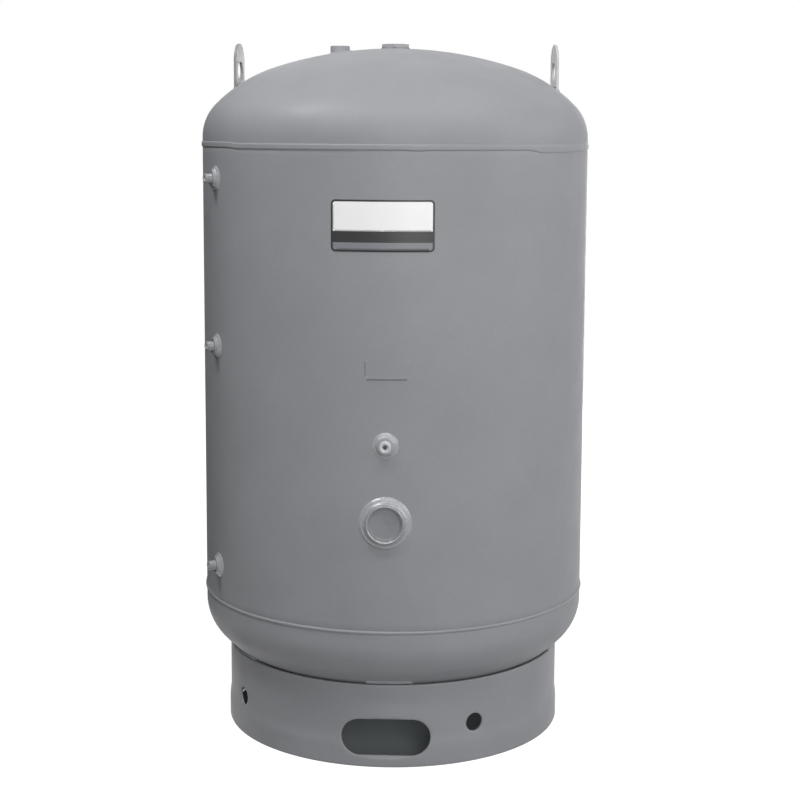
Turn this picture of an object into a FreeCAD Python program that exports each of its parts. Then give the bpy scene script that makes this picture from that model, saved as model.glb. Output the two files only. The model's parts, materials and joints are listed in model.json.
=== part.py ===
import FreeCAD, Part
import math
import os

# Unjacketed vertical hot-water storage tank: a rolled steel shell closed by two dished heads, standing
# on a short steel ring, with welded pipe fittings, two lifting lugs on the top head and a removable anode
# in its crown.
#
# Millimetres. The tank axis is Z, the floor is z = 0 and the front of the tank faces -Y.
# Azimuths are degrees round the axis from the front, positive towards +X.

Vector = FreeCAD.Vector
ORIGIN = Vector(0, 0, 0)
AXIS = Vector(0, 0, 1)

# Shell and heads
SHELL_RADIUS = 457.2
SHELL_WALL = 6.0
SHELL_LENGTH = 1053.0
KNUCKLE_RADIUS = 107.4
KNUCKLE_TURN = 44.32
SHOULDER_RADIUS = 349.0
SHOULDER_TURN = 27.63
HEAD_WALL = 6.0
TOP_FLANGE = 22.0
BOTTOM_FLANGE = 34.0
LIP_LENGTH = 20.0
LIP_CLEARANCE = 0.3

# Base ring with its foot flare, access slot and round holes
RING_RADIUS = 400.0
RING_WALL = 6.0
RING_HEIGHT = 194.0
RING_SEAT_GAP = 0.2
FLARE = 3.0
FLARE_HEIGHT = 50.0
FLARE_RUN = 12.0
SLOT_LENGTH = 202.0
SLOT_WIDTH = 84.0
SLOT_CENTRE_HEIGHT = 68.0
HOLE_RADIUS = 21.0
HOLE_HEIGHT = 90.0
HOLE_AZIMUTHS = (-60.0, 30.0, 120.0, 210.0)
TACK_AZIMUTHS = (-59.0, 1.0, 77.0, 129.0, 181.0, 241.0)
TACK_LENGTH = 110.0
TACK_RISE = 2.5

# Seam welds
WELD_BELLY = 0.72
WELD_TOE_SHARE = 0.25
TOP_BEAD_TOE = 3.4
BOTTOM_BEAD_TOE = 0.6
TOP_BEAD_HEIGHT = 2.2
BOTTOM_BEAD_HEIGHT = 2.6
SEAM_AZIMUTH = 180.0
SEAM_BEAD_WIDTH = 9.0
SEAM_BEAD_HEIGHT = 1.6
RING_SEAM_AZIMUTH = 165.0

# Lifting lugs
LUG_AZIMUTH = 97.0
LUG_INSET = 75.0
LUG_WIDTH = 80.0
LUG_THICKNESS = 6.4
LUG_HEIGHT = 108.0
LUG_HOLE_RADIUS = 22.5
LUG_HOLE_DROP = 64.0
LUG_WELD_LEG = 6.0

# Three-quarter inch half couplings with their nipples
SMALL_COUPLING_RADIUS = 19.0
SMALL_COUPLING_REACH = 10.5
NIPPLE_RADIUS = 13.35
NIPPLE_THREAD_RADIUS = 12.6
NIPPLE_BORE_RADIUS = 7.8
NIPPLE_REACH = 23.0
NIPPLE_ENGAGEMENT = 14.0
SMALL_WELD_WIDTH = 10.5
SMALL_WELD_HEIGHT = 4.0
COUPLING_INNER_REACH = 4.0
RIM_CHAMFER = 1.0
SIDE_PORT_AZIMUTH = -61.0
SIDE_UPPER_BELOW_TOP_SEAM = 71.0
SIDE_MIDDLE_ABOVE_BOTTOM_SEAM = 599.0
SIDE_LOWER_ABOVE_BOTTOM_SEAM = 83.0
FRONT_SMALL_ABOVE_BOTTOM_SEAM = 415.0

# Large front coupling and its recessed plug
LARGE_COUPLING_RADIUS = 44.5
LARGE_BORE_RADIUS = 39.0
LARGE_COUPLING_REACH = 14.0
LARGE_INNER_REACH = 8.0
PLUG_RECESS = 8.0
PLUG_THICKNESS = 18.0
LARGE_TOE_WIDTH = 14.5
LARGE_TOE_HEIGHT = 3.0
LARGE_WELD_WIDTH = 9.0
LARGE_WELD_HEIGHT = 7.0
FRONT_LARGE_ABOVE_BOTTOM_SEAM = 243.0

# Outlet coupling on the top head and drain coupling under the bottom head
OUTLET_COUPLING_RADIUS = 23.0
OUTLET_BORE_RADIUS = 15.5
OUTLET_REACH = 15.5
OUTLET_INNER_REACH = 8.0
OUTLET_OFFSET = 132.0
OUTLET_AZIMUTH = -90.0
HEAD_WELD_WIDTH = 8.0
HEAD_WELD_HEIGHT = 6.0
DRAIN_REACH = 14.0
DRAIN_PLUG_FLATS = 36.0
DRAIN_PLUG_HEAD = 14.0
DRAIN_PLUG_ENGAGEMENT = 18.0

# Anode: spud in the crown, hexagon plug, core wire and sacrificial rod
SPUD_RADIUS = 34.0
SPUD_REACH = 2.3
SPUD_WELD_HEIGHT = 1.0
SPUD_INNER_REACH = 18.0
ANODE_THREAD_RADIUS = 24.1
ANODE_CLEARANCE = 0.05
ANODE_FLATS = 63.5
ANODE_HEAD_HEIGHT = 7.7
HEX_CHAMFER = 1.5
ANODE_SHANK = 26.0
ANODE_ROD_RADIUS = 13.0
ANODE_ROD_LENGTH = 980.0
ANODE_WIRE_RADIUS = 2.0
ANODE_WIRE_BARE = 30.0
ANODE_WIRE_GRIP = 12.0
ANODE_WIRE_TAIL = 4.0

# Name label and data plate on the front of the shell
LABEL_WIDTH = 222.0
LABEL_HEIGHT = 111.0
LABEL_CORNER = 9.0
LABEL_THICKNESS = 0.4
LABEL_AZIMUTH = -1.0
LABEL_BELOW_TOP_SEAM = 163.0
PLATE_WIDTH = 92.0
PLATE_HEIGHT = 47.0
PLATE_CORNER = 3.0
PLATE_THICKNESS = 0.8
PLATE_AZIMUTH = 0.5
PLATE_ABOVE_BOTTOM_SEAM = 582.0
PIN_RADIUS = 2.2
PIN_HEAD = 1.0
PIN_INSET = 6.0
PATCH_CLEARANCE = 0.3

# Heights and radii that follow from the sizes above
SHELL_INNER = SHELL_RADIUS - SHELL_WALL
JOGGLE = SHELL_WALL + LIP_CLEARANCE
LIP_OUTER = SHELL_RADIUS - JOGGLE
LIP_INNER = LIP_OUTER - HEAD_WALL
HEAD_INNER = SHELL_RADIUS - HEAD_WALL
BEND_OFFSET = HEAD_WALL * math.tan(math.radians(22.5))
RING_INNER = RING_RADIUS - RING_WALL


# A head's outside is three tangent arcs: knuckle, shoulder and crown. Centres are (radius, height over
# the equator), angles are measured up from the equator's plane.
KNUCKLE_END = math.radians(KNUCKLE_TURN)
SHOULDER_END = math.radians(KNUCKLE_TURN + SHOULDER_TURN)
KNUCKLE_CENTRE = (SHELL_RADIUS - KNUCKLE_RADIUS, 0.0)
SHOULDER_CENTRE = (KNUCKLE_CENTRE[0] - (SHOULDER_RADIUS - KNUCKLE_RADIUS) * math.cos(KNUCKLE_END),
                   -(SHOULDER_RADIUS - KNUCKLE_RADIUS) * math.sin(KNUCKLE_END))
CROWN_RADIUS = SHOULDER_RADIUS + SHOULDER_CENTRE[0] / math.cos(SHOULDER_END)
CROWN_CENTRE = (0.0, SHOULDER_CENTRE[1] - SHOULDER_CENTRE[0] * math.tan(SHOULDER_END))
HEAD_DEPTH = CROWN_CENTRE[1] + CROWN_RADIUS


def head_rise(radius):
    """Height of a head's outer surface over its equator at a distance from the axis."""
    crown_edge = CROWN_RADIUS * math.cos(SHOULDER_END)
    shoulder_edge = SHOULDER_CENTRE[0] + SHOULDER_RADIUS * math.cos(KNUCKLE_END)
    if radius < crown_edge:
        centre, size = CROWN_CENTRE, CROWN_RADIUS
    elif radius < shoulder_edge:
        centre, size = SHOULDER_CENTRE, SHOULDER_RADIUS
    else:
        centre, size = KNUCKLE_CENTRE, KNUCKLE_RADIUS
    return centre[1] + math.sqrt(size ** 2 - (radius - centre[0]) ** 2)


BOTTOM_EQUATOR = RING_HEIGHT + RING_SEAT_GAP + head_rise(RING_INNER)
BOTTOM_SEAM = BOTTOM_EQUATOR + BOTTOM_FLANGE
TOP_SEAM = BOTTOM_SEAM + SHELL_LENGTH
TOP_EQUATOR = TOP_SEAM + TOP_FLANGE
CROWN = TOP_EQUATOR + HEAD_DEPTH
BOTTOM_POLE = BOTTOM_EQUATOR - HEAD_DEPTH


# ---------------------------------------------------------------- shapes used more than once

def lines(points):
    """Straight edges through points given as (radius, height)."""
    corners = [Vector(radius, 0, height) for radius, height in points]
    return [Part.LineSegment(a, b).toShape() for a, b in zip(corners, corners[1:])]


def arc(start, middle, end):
    """Circular edge through three points given as (radius, height)."""
    corners = [Vector(radius, 0, height) for radius, height in (start, middle, end)]
    return Part.Arc(*corners).toShape()


def head_arcs(equator, up, offset=0.0):
    """Arcs of a head from its equator to its pole, parallel to its outside at an offset outwards."""
    turns = (0.0, KNUCKLE_END, SHOULDER_END, 0.5 * math.pi)
    centres = (KNUCKLE_CENTRE, SHOULDER_CENTRE, CROWN_CENTRE)
    sizes = (KNUCKLE_RADIUS, SHOULDER_RADIUS, CROWN_RADIUS)
    edges = []
    for centre, size, start, end in zip(centres, sizes, turns, turns[1:]):
        points = []
        for turn in (start, 0.5 * (start + end), end):
            reach = size + offset
            rise = centre[1] + reach * math.sin(turn)
            points.append((centre[0] + reach * math.cos(turn), equator + up * rise))
        edges.append(arc(*points))
    return edges


def revolved(edges, angle=360.0):
    """Solid swept by a closed outline in the XZ plane, turned about the tank axis."""
    outline = Part.Wire(Part.__sortEdges__(edges))
    return Part.Face(outline).revolve(ORIGIN, AXIS, angle)


def cylinder(radius, low, high):
    """Upright cylinder between two heights."""
    return Part.makeCylinder(radius, high - low, Vector(0, 0, low))


def tube(outer, inner, low, high):
    """Upright tube between two heights."""
    return cylinder(outer, low, high).cut(cylinder(inner, low, high))


def fitting_tube(outer, inner, low, high):
    """Upright tube with its upper rim chamfered inside and out."""
    points = [(inner, low), (outer, low), (outer, high - RIM_CHAMFER), (outer - RIM_CHAMFER, high)]
    points += [(inner + RIM_CHAMFER, high), (inner, high - RIM_CHAMFER), (inner, low)]
    return revolved(lines(points))


def hexagon(flats, low, high):
    """Upright hexagonal bar between two heights, one corner towards the front."""
    corner = flats / math.sqrt(3.0)
    turns = [math.radians(60.0 * i - 90.0) for i in range(7)]
    points = [Vector(corner * math.cos(t), corner * math.sin(t), low) for t in turns]
    return Part.Face(Part.makePolygon(points)).extrude(Vector(0, 0, high - low))


def rounded_bar(width, depth, corner, low, high):
    """Upright bar of rounded rectangular section."""
    bar = Part.makeBox(width, depth, high - low, Vector(-0.5 * width, -0.5 * depth, low))
    uprights = [edge for edge in bar.Edges if abs(edge.tangentAt(edge.FirstParameter).z) > 0.5]
    return bar.makeFillet(corner, uprights)


def envelope(growth=0.0):
    """The whole tank body as one filled solid, grown outwards by a distance."""
    radius = SHELL_RADIUS + growth
    edges = head_arcs(TOP_EQUATOR, 1, growth) + head_arcs(BOTTOM_EQUATOR, -1, growth)
    edges += lines([(radius, BOTTOM_EQUATOR), (radius, TOP_EQUATOR)])
    edges += lines([(0, BOTTOM_POLE - growth), (0, CROWN + growth)])
    return revolved(edges)


def group(shapes):
    """Alike pieces as one node of separate solids."""
    return Part.makeCompound([solid for shape in shapes for solid in shape.Solids])


def on_wall(shape, azimuth, height, radius=SHELL_RADIUS):
    """Move a shape built up from z = 0 so that it points out of a round wall at an azimuth and height."""
    placed = shape.copy()
    placed.rotate(ORIGIN, Vector(1, 0, 0), 90)
    placed.translate(Vector(0, -radius, height))
    placed.rotate(ORIGIN, AXIS, azimuth)
    return placed


def on_top(shape, azimuth, offset):
    """Move a shape built up from z = 0 so that it stands on the top head."""
    placed = shape.copy()
    placed.translate(Vector(0, -offset, TOP_EQUATOR + head_rise(offset)))
    placed.rotate(ORIGIN, AXIS, azimuth)
    return placed


def under_bottom(shape):
    """Move a shape built up from z = 0 so that it hangs from the middle of the bottom head."""
    placed = shape.copy()
    placed.rotate(ORIGIN, Vector(1, 0, 0), 180)
    placed.translate(Vector(0, 0, BOTTOM_POLE))
    return placed


def round_weld(place, core_radius, width, height, tilt=0.0):
    """Convex fillet weld round a pipe fitting; place is the function that moves a shape to the fitting.

    The bead is turned about its own axis, tilted to stand square on the tank, and trimmed to the
    fitting's wall and to the tank's surface, so that its toe follows the saddle between them.
    """
    depth = SHELL_WALL
    wall = core_radius + width
    toe = WELD_TOE_SHARE * height
    belly = (core_radius + WELD_BELLY * width, toe + WELD_BELLY * (height - toe))
    inner = [(0, height), (0, -depth), (wall, -depth), (wall, toe)]
    edges = lines(inner) + [arc(inner[-1], belly, (core_radius, height))]
    edges += lines([(core_radius, height), (0, height)])
    bead = revolved(edges)
    bead.rotate(ORIGIN, Vector(1, 0, 0), tilt)
    reach = height + width + depth
    core = cylinder(core_radius, -reach, reach)
    return place(bead).cut([place(core), envelope()])


# ---------------------------------------------------------------- places of the fittings

def side_upper(shape):
    return on_wall(shape, SIDE_PORT_AZIMUTH, TOP_SEAM - SIDE_UPPER_BELOW_TOP_SEAM)


def side_middle(shape):
    return on_wall(shape, SIDE_PORT_AZIMUTH, BOTTOM_SEAM + SIDE_MIDDLE_ABOVE_BOTTOM_SEAM)


def side_lower(shape):
    return on_wall(shape, SIDE_PORT_AZIMUTH, BOTTOM_SEAM + SIDE_LOWER_ABOVE_BOTTOM_SEAM)


def front_small(shape):
    return on_wall(shape, 0, BOTTOM_SEAM + FRONT_SMALL_ABOVE_BOTTOM_SEAM)


def front_large(shape):
    return on_wall(shape, 0, BOTTOM_SEAM + FRONT_LARGE_ABOVE_BOTTOM_SEAM)


def outlet(shape):
    return on_top(shape, OUTLET_AZIMUTH, OUTLET_OFFSET)


def crown(shape):
    return on_top(shape, 0, 0)


SMALL_PORTS = (side_upper, side_middle, side_lower, front_small)


def openings():
    """A bar through the wall at every fitting, for the holes that the fittings pass through."""
    places = [(place, SMALL_COUPLING_RADIUS) for place in SMALL_PORTS]
    places += [(front_large, LARGE_COUPLING_RADIUS), (outlet, OUTLET_COUPLING_RADIUS)]
    places += [(crown, SPUD_RADIUS), (under_bottom, OUTLET_COUPLING_RADIUS)]
    depth = 4 * SHELL_WALL
    return [place(cylinder(radius, -depth, depth)) for place, radius in places]


# ---------------------------------------------------------------- tank body

def shell():
    """Rolled shell, open at both ends."""
    return tube(SHELL_RADIUS, SHELL_INNER, BOTTOM_SEAM, TOP_SEAM).cut(openings())


def head(seam, equator, up):
    """Dished head: three-arc dish, straight flange and a lip set in to slip inside the shell."""
    pole = equator + up * HEAD_DEPTH
    wall = up * HEAD_WALL
    lip_end = seam - up * LIP_LENGTH
    inner_bend = seam + up * BEND_OFFSET
    outer = [(LIP_OUTER, lip_end), (LIP_OUTER, seam), (SHELL_RADIUS, seam + up * JOGGLE)]
    outer += [(SHELL_RADIUS, equator)]
    inner = [(LIP_INNER, lip_end), (LIP_INNER, inner_bend), (HEAD_INNER, inner_bend + up * JOGGLE)]
    inner += [(HEAD_INNER, equator)]
    edges = lines(outer) + lines(inner) + lines([outer[0], inner[0]]) + lines([(0, pole), (0, pole - wall)])
    edges += head_arcs(equator, up) + head_arcs(equator, up, -HEAD_WALL)
    return revolved(edges).cut(openings())


def girth_weld(seam, up, toe, height):
    """Bead round the joint of a head and the shell: a root that fills the groove and a convex cap."""
    low = seam - up * toe
    high = seam + up * (JOGGLE + toe)
    cap = arc((SHELL_RADIUS, low), (SHELL_RADIUS + height, 0.5 * (low + high)), (SHELL_RADIUS, high))
    root = [(SHELL_RADIUS, high), (SHELL_RADIUS, seam + up * JOGGLE), (LIP_OUTER, seam)]
    root += [(SHELL_RADIUS, seam), (SHELL_RADIUS, low)]
    return revolved([cap] + lines(root))


def shell_seam_weld():
    """Upright bead that closes the rolled shell, between the two girth welds."""
    half = 0.5 * SEAM_BEAD_WIDTH
    side = math.sqrt(SHELL_RADIUS ** 2 - half ** 2)
    low = BOTTOM_SEAM + BOTTOM_BEAD_TOE
    high = TOP_SEAM - TOP_BEAD_TOE
    ends = (Vector(-half, -side, low), Vector(half, -side, low))
    crest = Part.Arc(ends[0], Vector(0, -SHELL_RADIUS - SEAM_BEAD_HEIGHT, low), ends[1])
    foot = Part.Arc(ends[0], Vector(0, -SHELL_RADIUS, low), ends[1])
    section = Part.Face(Part.Wire([crest.toShape(), foot.toShape()]))
    bead = section.extrude(Vector(0, 0, high - low))
    bead.rotate(ORIGIN, AXIS, SEAM_AZIMUTH)
    return bead


# ---------------------------------------------------------------- base ring

def ring_outline(radius):
    """Upright line of the ring's wall at a radius, from the top edge down to the flared foot."""
    flare_top = FLARE_HEIGHT + FLARE_RUN
    return [(radius, RING_HEIGHT), (radius, flare_top), (radius + FLARE, FLARE_HEIGHT), (radius + FLARE, 0)]


def obround(length, width, reach):
    """Round-ended bar lying across the X axis, as deep as its reach both ways."""
    radius = 0.5 * width
    run = length - width
    bar = Part.makeBox(run, width, 2 * reach, Vector(-0.5 * run, -radius, -reach))
    for side in (-1, 1):
        end = Part.makeCylinder(radius, 2 * reach, Vector(0.5 * side * run, 0, -reach))
        bar = bar.fuse(end)
    return bar.removeSplitter()


def base_ring():
    """Rolled skirt with a flared foot, an access slot in front and round holes at its quarters."""
    outer = ring_outline(RING_RADIUS)
    inner = ring_outline(RING_INNER)
    ring = revolved(lines(outer) + lines(inner) + lines([outer[0], inner[0]]) + lines([outer[-1], inner[-1]]))
    reach = 4 * RING_WALL
    cuts = [on_wall(obround(SLOT_LENGTH, SLOT_WIDTH, reach), 0, SLOT_CENTRE_HEIGHT, RING_RADIUS)]
    for azimuth in HOLE_AZIMUTHS:
        cuts.append(on_wall(cylinder(HOLE_RADIUS, -reach, reach), azimuth, HOLE_HEIGHT, RING_RADIUS))
    return ring.cut(cuts)


def sector(edges, azimuth, width):
    """Part of a ring of revolution, as wide as given at the ring's radius and centred on an azimuth."""
    angle = math.degrees(width / RING_RADIUS)
    piece = revolved(edges, angle)
    piece.rotate(ORIGIN, AXIS, azimuth - 90.0 - 0.5 * angle)
    return piece


def base_ring_seam_weld():
    """Upright bead that closes the ring, following its flare."""
    face = ring_outline(RING_RADIUS)
    crest = ring_outline(RING_RADIUS + SEAM_BEAD_HEIGHT)
    edges = lines(face) + lines(crest) + lines([face[0], crest[0]]) + lines([face[-1], crest[-1]])
    return sector(edges, RING_SEAM_AZIMUTH, SEAM_BEAD_WIDTH)


def base_ring_welds():
    """Short beads in the open angle between the ring's top edge and the bottom head."""
    def head_height(radius):
        return BOTTOM_EQUATOR - head_rise(radius)

    foot = (RING_RADIUS, RING_HEIGHT)
    toe = (RING_RADIUS + TACK_RISE, head_height(RING_RADIUS + TACK_RISE))
    belly = (RING_RADIUS + TACK_RISE, 0.5 * (foot[1] + toe[1]))
    root = [toe, (RING_INNER, head_height(RING_INNER)), (RING_INNER, RING_HEIGHT), foot]
    edges = [arc(foot, belly, toe)] + lines(root)
    tank = envelope()
    beads = [sector(edges, azimuth, TACK_LENGTH).cut(tank) for azimuth in TACK_AZIMUTHS]
    return Part.makeCompound([bead.Solids[0] for bead in beads])


# ---------------------------------------------------------------- lifting lugs

def lug_plate(azimuth):
    """Plate of a lug before it is scribed to the head, turned to its azimuth."""
    radius = SHELL_RADIUS - LUG_INSET
    top = TOP_EQUATOR + head_rise(radius) + LUG_HEIGHT
    half = 0.5 * LUG_WIDTH
    shoulder = top - half
    back = 0.5 * LUG_THICKNESS - radius
    corners = [Vector(half, back, shoulder), Vector(half, back, TOP_EQUATOR)]
    corners += [Vector(-half, back, TOP_EQUATOR), Vector(-half, back, shoulder)]
    edges = [Part.LineSegment(a, b).toShape() for a, b in zip(corners, corners[1:])]
    edges.append(Part.Arc(corners[-1], Vector(0, back, top), corners[0]).toShape())
    plate = Part.Face(Part.Wire(edges)).extrude(Vector(0, -LUG_THICKNESS, 0))
    plate.rotate(ORIGIN, AXIS, azimuth)
    return plate


def lifting_lug(azimuth):
    """Round-topped lug with a shackle hole, its foot scribed to the head."""
    radius = SHELL_RADIUS - LUG_INSET
    hole_height = TOP_EQUATOR + head_rise(radius) + LUG_HEIGHT - LUG_HOLE_DROP
    hole = on_wall(cylinder(LUG_HOLE_RADIUS, -LUG_THICKNESS, LUG_THICKNESS), azimuth, hole_height, radius)
    return lug_plate(azimuth).cut([hole, envelope()])


def lug_weld(azimuth):
    """Fillet welds along both faces of a lug's foot."""
    radius = SHELL_RADIUS - LUG_INSET
    tank = envelope()
    beads = []
    for side in (-1, 1):
        face = radius + side * 0.5 * LUG_THICKNESS
        toe = face + side * LUG_WELD_LEG
        root = TOP_EQUATOR + head_rise(face)
        foot = TOP_EQUATOR + head_rise(toe)
        points = [(face, root + LUG_WELD_LEG), (toe, foot), (toe, foot - LUG_WELD_LEG)]
        points += [(face, root - LUG_WELD_LEG), points[0]]
        bead = Part.Face(Part.Wire(lines(points))).extrude(Vector(0, LUG_WIDTH, 0))
        bead.translate(Vector(0, -0.5 * LUG_WIDTH, 0))
        bead.rotate(ORIGIN, AXIS, azimuth - 90.0)
        beads.append(bead.cut(tank))
    return group(beads)


# ---------------------------------------------------------------- fittings

def small_couplings():
    """Half couplings of the small ports, set through the shell."""
    inner_end = -SHELL_WALL - COUPLING_INNER_REACH
    sleeve = fitting_tube(SMALL_COUPLING_RADIUS, NIPPLE_THREAD_RADIUS, inner_end, SMALL_COUPLING_REACH)
    return group(place(sleeve) for place in SMALL_PORTS)


def port_nipples():
    """Short nipples screwed into the half couplings; the engaged stretch is at the thread's mean radius."""
    mouth = SMALL_COUPLING_REACH
    sleeve = fitting_tube(NIPPLE_RADIUS, NIPPLE_BORE_RADIUS, mouth, NIPPLE_REACH)
    sleeve = sleeve.fuse(tube(NIPPLE_THREAD_RADIUS, NIPPLE_BORE_RADIUS, mouth - NIPPLE_ENGAGEMENT, mouth))
    return group(place(sleeve.removeSplitter()) for place in SMALL_PORTS)


def large_coupling():
    """Large half coupling low on the front."""
    inner_end = -SHELL_WALL - LARGE_INNER_REACH
    sleeve = fitting_tube(LARGE_COUPLING_RADIUS, LARGE_BORE_RADIUS, inner_end, LARGE_COUPLING_REACH)
    return front_large(sleeve)


def large_plug():
    """Flat plug screwed in below the mouth of the large coupling."""
    face = LARGE_COUPLING_REACH - PLUG_RECESS
    return front_large(cylinder(LARGE_BORE_RADIUS, face - PLUG_THICKNESS, face))


def fitting_welds():
    """Weld round every pipe fitting; the large port's is a wide low pass under a narrow high one."""
    beads = []
    for place in SMALL_PORTS:
        beads.append(round_weld(place, SMALL_COUPLING_RADIUS, SMALL_WELD_WIDTH, SMALL_WELD_HEIGHT))
    low_pass = round_weld(front_large, LARGE_COUPLING_RADIUS, LARGE_TOE_WIDTH, LARGE_TOE_HEIGHT)
    high_pass = round_weld(front_large, LARGE_COUPLING_RADIUS, LARGE_WELD_WIDTH, LARGE_WELD_HEIGHT)
    beads.append(low_pass.fuse(high_pass))
    slope = math.degrees(math.asin(OUTLET_OFFSET / CROWN_RADIUS))
    beads.append(round_weld(outlet, OUTLET_COUPLING_RADIUS, HEAD_WELD_WIDTH, HEAD_WELD_HEIGHT, slope))
    beads.append(round_weld(under_bottom, OUTLET_COUPLING_RADIUS, HEAD_WELD_WIDTH, HEAD_WELD_HEIGHT))
    beads.append(round_weld(crown, SPUD_RADIUS, HEAD_WELD_WIDTH, SPUD_WELD_HEIGHT))
    return group(beads)


def outlet_coupling():
    """Half coupling in the top head."""
    inner_end = -HEAD_WALL - OUTLET_INNER_REACH
    return outlet(fitting_tube(OUTLET_COUPLING_RADIUS, OUTLET_BORE_RADIUS, inner_end, OUTLET_REACH))


def drain_coupling():
    """Half coupling in the middle of the bottom head."""
    inner_end = -HEAD_WALL - COUPLING_INNER_REACH
    return under_bottom(fitting_tube(OUTLET_COUPLING_RADIUS, OUTLET_BORE_RADIUS, inner_end, DRAIN_REACH))


def hex_head(flats, low, high):
    """Hexagonal head with its outer corners chamfered."""
    corner = flats / math.sqrt(3.0)
    crest = corner - HEX_CHAMFER
    turn = high - HEX_CHAMFER * math.tan(math.radians(30.0))
    outline = [(0, low), (corner, low), (corner, turn), (crest, high), (0, high), (0, low)]
    return hexagon(flats, low, high).common(revolved(lines(outline)))


def drain_plug():
    """Hexagon-headed plug in the drain coupling."""
    shank = cylinder(OUTLET_BORE_RADIUS, DRAIN_REACH - DRAIN_PLUG_ENGAGEMENT, DRAIN_REACH)
    body = shank.fuse(hex_head(DRAIN_PLUG_FLATS, DRAIN_REACH, DRAIN_REACH + DRAIN_PLUG_HEAD))
    return under_bottom(body)


# ---------------------------------------------------------------- anode

SHANK_END = SPUD_REACH - ANODE_SHANK
ROD_TOP = SHANK_END - ANODE_WIRE_BARE
ROD_BOTTOM = ROD_TOP - ANODE_ROD_LENGTH


def anode_spud():
    """Threaded spud in the crown of the top head, with a running bore for the anode's plug."""
    bore = ANODE_THREAD_RADIUS + ANODE_CLEARANCE
    return crown(tube(SPUD_RADIUS, bore, -HEAD_WALL - SPUD_INNER_REACH, SPUD_REACH))


def core_wire(radius):
    """Steel wire from inside the plug to below the rod."""
    return cylinder(radius, ROD_BOTTOM - ANODE_WIRE_TAIL, SHANK_END + ANODE_WIRE_GRIP)


def anode_plug():
    """Hexagon-headed plug that carries the anode, resting on the spud."""
    head_end = SPUD_REACH + ANODE_HEAD_HEIGHT
    body = cylinder(ANODE_THREAD_RADIUS, SHANK_END, SPUD_REACH)
    body = body.fuse(hex_head(ANODE_FLATS, SPUD_REACH, head_end))
    return crown(body.cut(core_wire(ANODE_WIRE_RADIUS)))


def anode_rod():
    """Sacrificial rod cast round the core wire."""
    return crown(tube(ANODE_ROD_RADIUS, ANODE_WIRE_RADIUS, ROD_BOTTOM, ROD_TOP))


# ---------------------------------------------------------------- label and data plate

def wall_patch(width, height, corner, thickness, azimuth, centre):
    """Thin plate with rounded corners, bent to lie on the shell."""
    sagitta = SHELL_RADIUS - math.sqrt(SHELL_RADIUS ** 2 - (0.5 * width) ** 2)
    depth = SHELL_WALL + sagitta
    block = on_wall(rounded_bar(width, height, corner, -depth, thickness + depth), azimuth, centre)
    back = SHELL_RADIUS + PATCH_CLEARANCE
    skin = tube(back + thickness, back, centre - height, centre + height)
    return block.common(skin)


def name_label():
    """Label high on the front of the shell."""
    centre = TOP_SEAM - LABEL_BELOW_TOP_SEAM
    return wall_patch(LABEL_WIDTH, LABEL_HEIGHT, LABEL_CORNER, LABEL_THICKNESS, LABEL_AZIMUTH, centre)


def data_plate_pins():
    """Drive pins at the corners of the data plate, flush with the shell behind it."""
    centre = BOTTOM_SEAM + PLATE_ABOVE_BOTTOM_SEAM
    across = 0.5 * PLATE_WIDTH - PIN_INSET
    along = 0.5 * PLATE_HEIGHT - PIN_INSET
    tank = envelope()
    pins = []
    for side in (-1, 1):
        for rise in (-1, 1):
            pin = cylinder(PIN_RADIUS, -SHELL_WALL, PATCH_CLEARANCE + PLATE_THICKNESS + PIN_HEAD)
            pin.translate(Vector(side * across, rise * along, 0))
            pins.append(on_wall(pin, PLATE_AZIMUTH, centre).cut(tank).Solids[0])
    return Part.makeCompound(pins)


def data_plate():
    """Small plate pinned to the shell."""
    centre = BOTTOM_SEAM + PLATE_ABOVE_BOTTOM_SEAM
    plate = wall_patch(PLATE_WIDTH, PLATE_HEIGHT, PLATE_CORNER, PLATE_THICKNESS, PLATE_AZIMUTH, centre)
    return plate.cut(data_plate_pins())


# ---------------------------------------------------------------- assembly

def assembly():
    """Every sub-part by name."""
    return {
        "shell": shell(),
        "top_head": head(TOP_SEAM, TOP_EQUATOR, 1),
        "bottom_head": head(BOTTOM_SEAM, BOTTOM_EQUATOR, -1),
        "top_girth_weld": girth_weld(TOP_SEAM, 1, TOP_BEAD_TOE, TOP_BEAD_HEIGHT),
        "bottom_girth_weld": girth_weld(BOTTOM_SEAM, -1, BOTTOM_BEAD_TOE, BOTTOM_BEAD_HEIGHT),
        "shell_seam_weld": shell_seam_weld(),
        "base_ring": base_ring(),
        "base_ring_seam_weld": base_ring_seam_weld(),
        "base_ring_welds": base_ring_welds(),
        "small_couplings": small_couplings(),
        "port_nipples": port_nipples(),
        "front_large_coupling": large_coupling(),
        "front_large_plug": large_plug(),
        "outlet_coupling": outlet_coupling(),
        "drain_coupling": drain_coupling(),
        "drain_plug": drain_plug(),
        "fitting_welds": fitting_welds(),
        "lifting_lug_left": lifting_lug(-LUG_AZIMUTH),
        "lifting_lug_right": lifting_lug(LUG_AZIMUTH),
        "lug_welds": group(lug_weld(azimuth) for azimuth in (-LUG_AZIMUTH, LUG_AZIMUTH)),
        "anode_spud": anode_spud(),
        "anode_plug": anode_plug(),
        "anode_core_wire": crown(core_wire(ANODE_WIRE_RADIUS)),
        "anode_rod": anode_rod(),
        "name_label": name_label(),
        "data_plate": data_plate(),
        "data_plate_pins": data_plate_pins(),
    }


def main():
    os.makedirs("parts", exist_ok=True)
    for name, shape in assembly().items():
        solids = shape.Solids
        piece = solids[0] if len(solids) == 1 else Part.makeCompound(solids)
        piece.exportStep("parts/" + name + ".step")


main()
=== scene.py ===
import json
from math import asin, cos, degrees, dist, hypot, pi, radians, sin, sqrt, tan

import bmesh
import bpy
from mathutils import Matrix, Vector, geometry, noise


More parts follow.
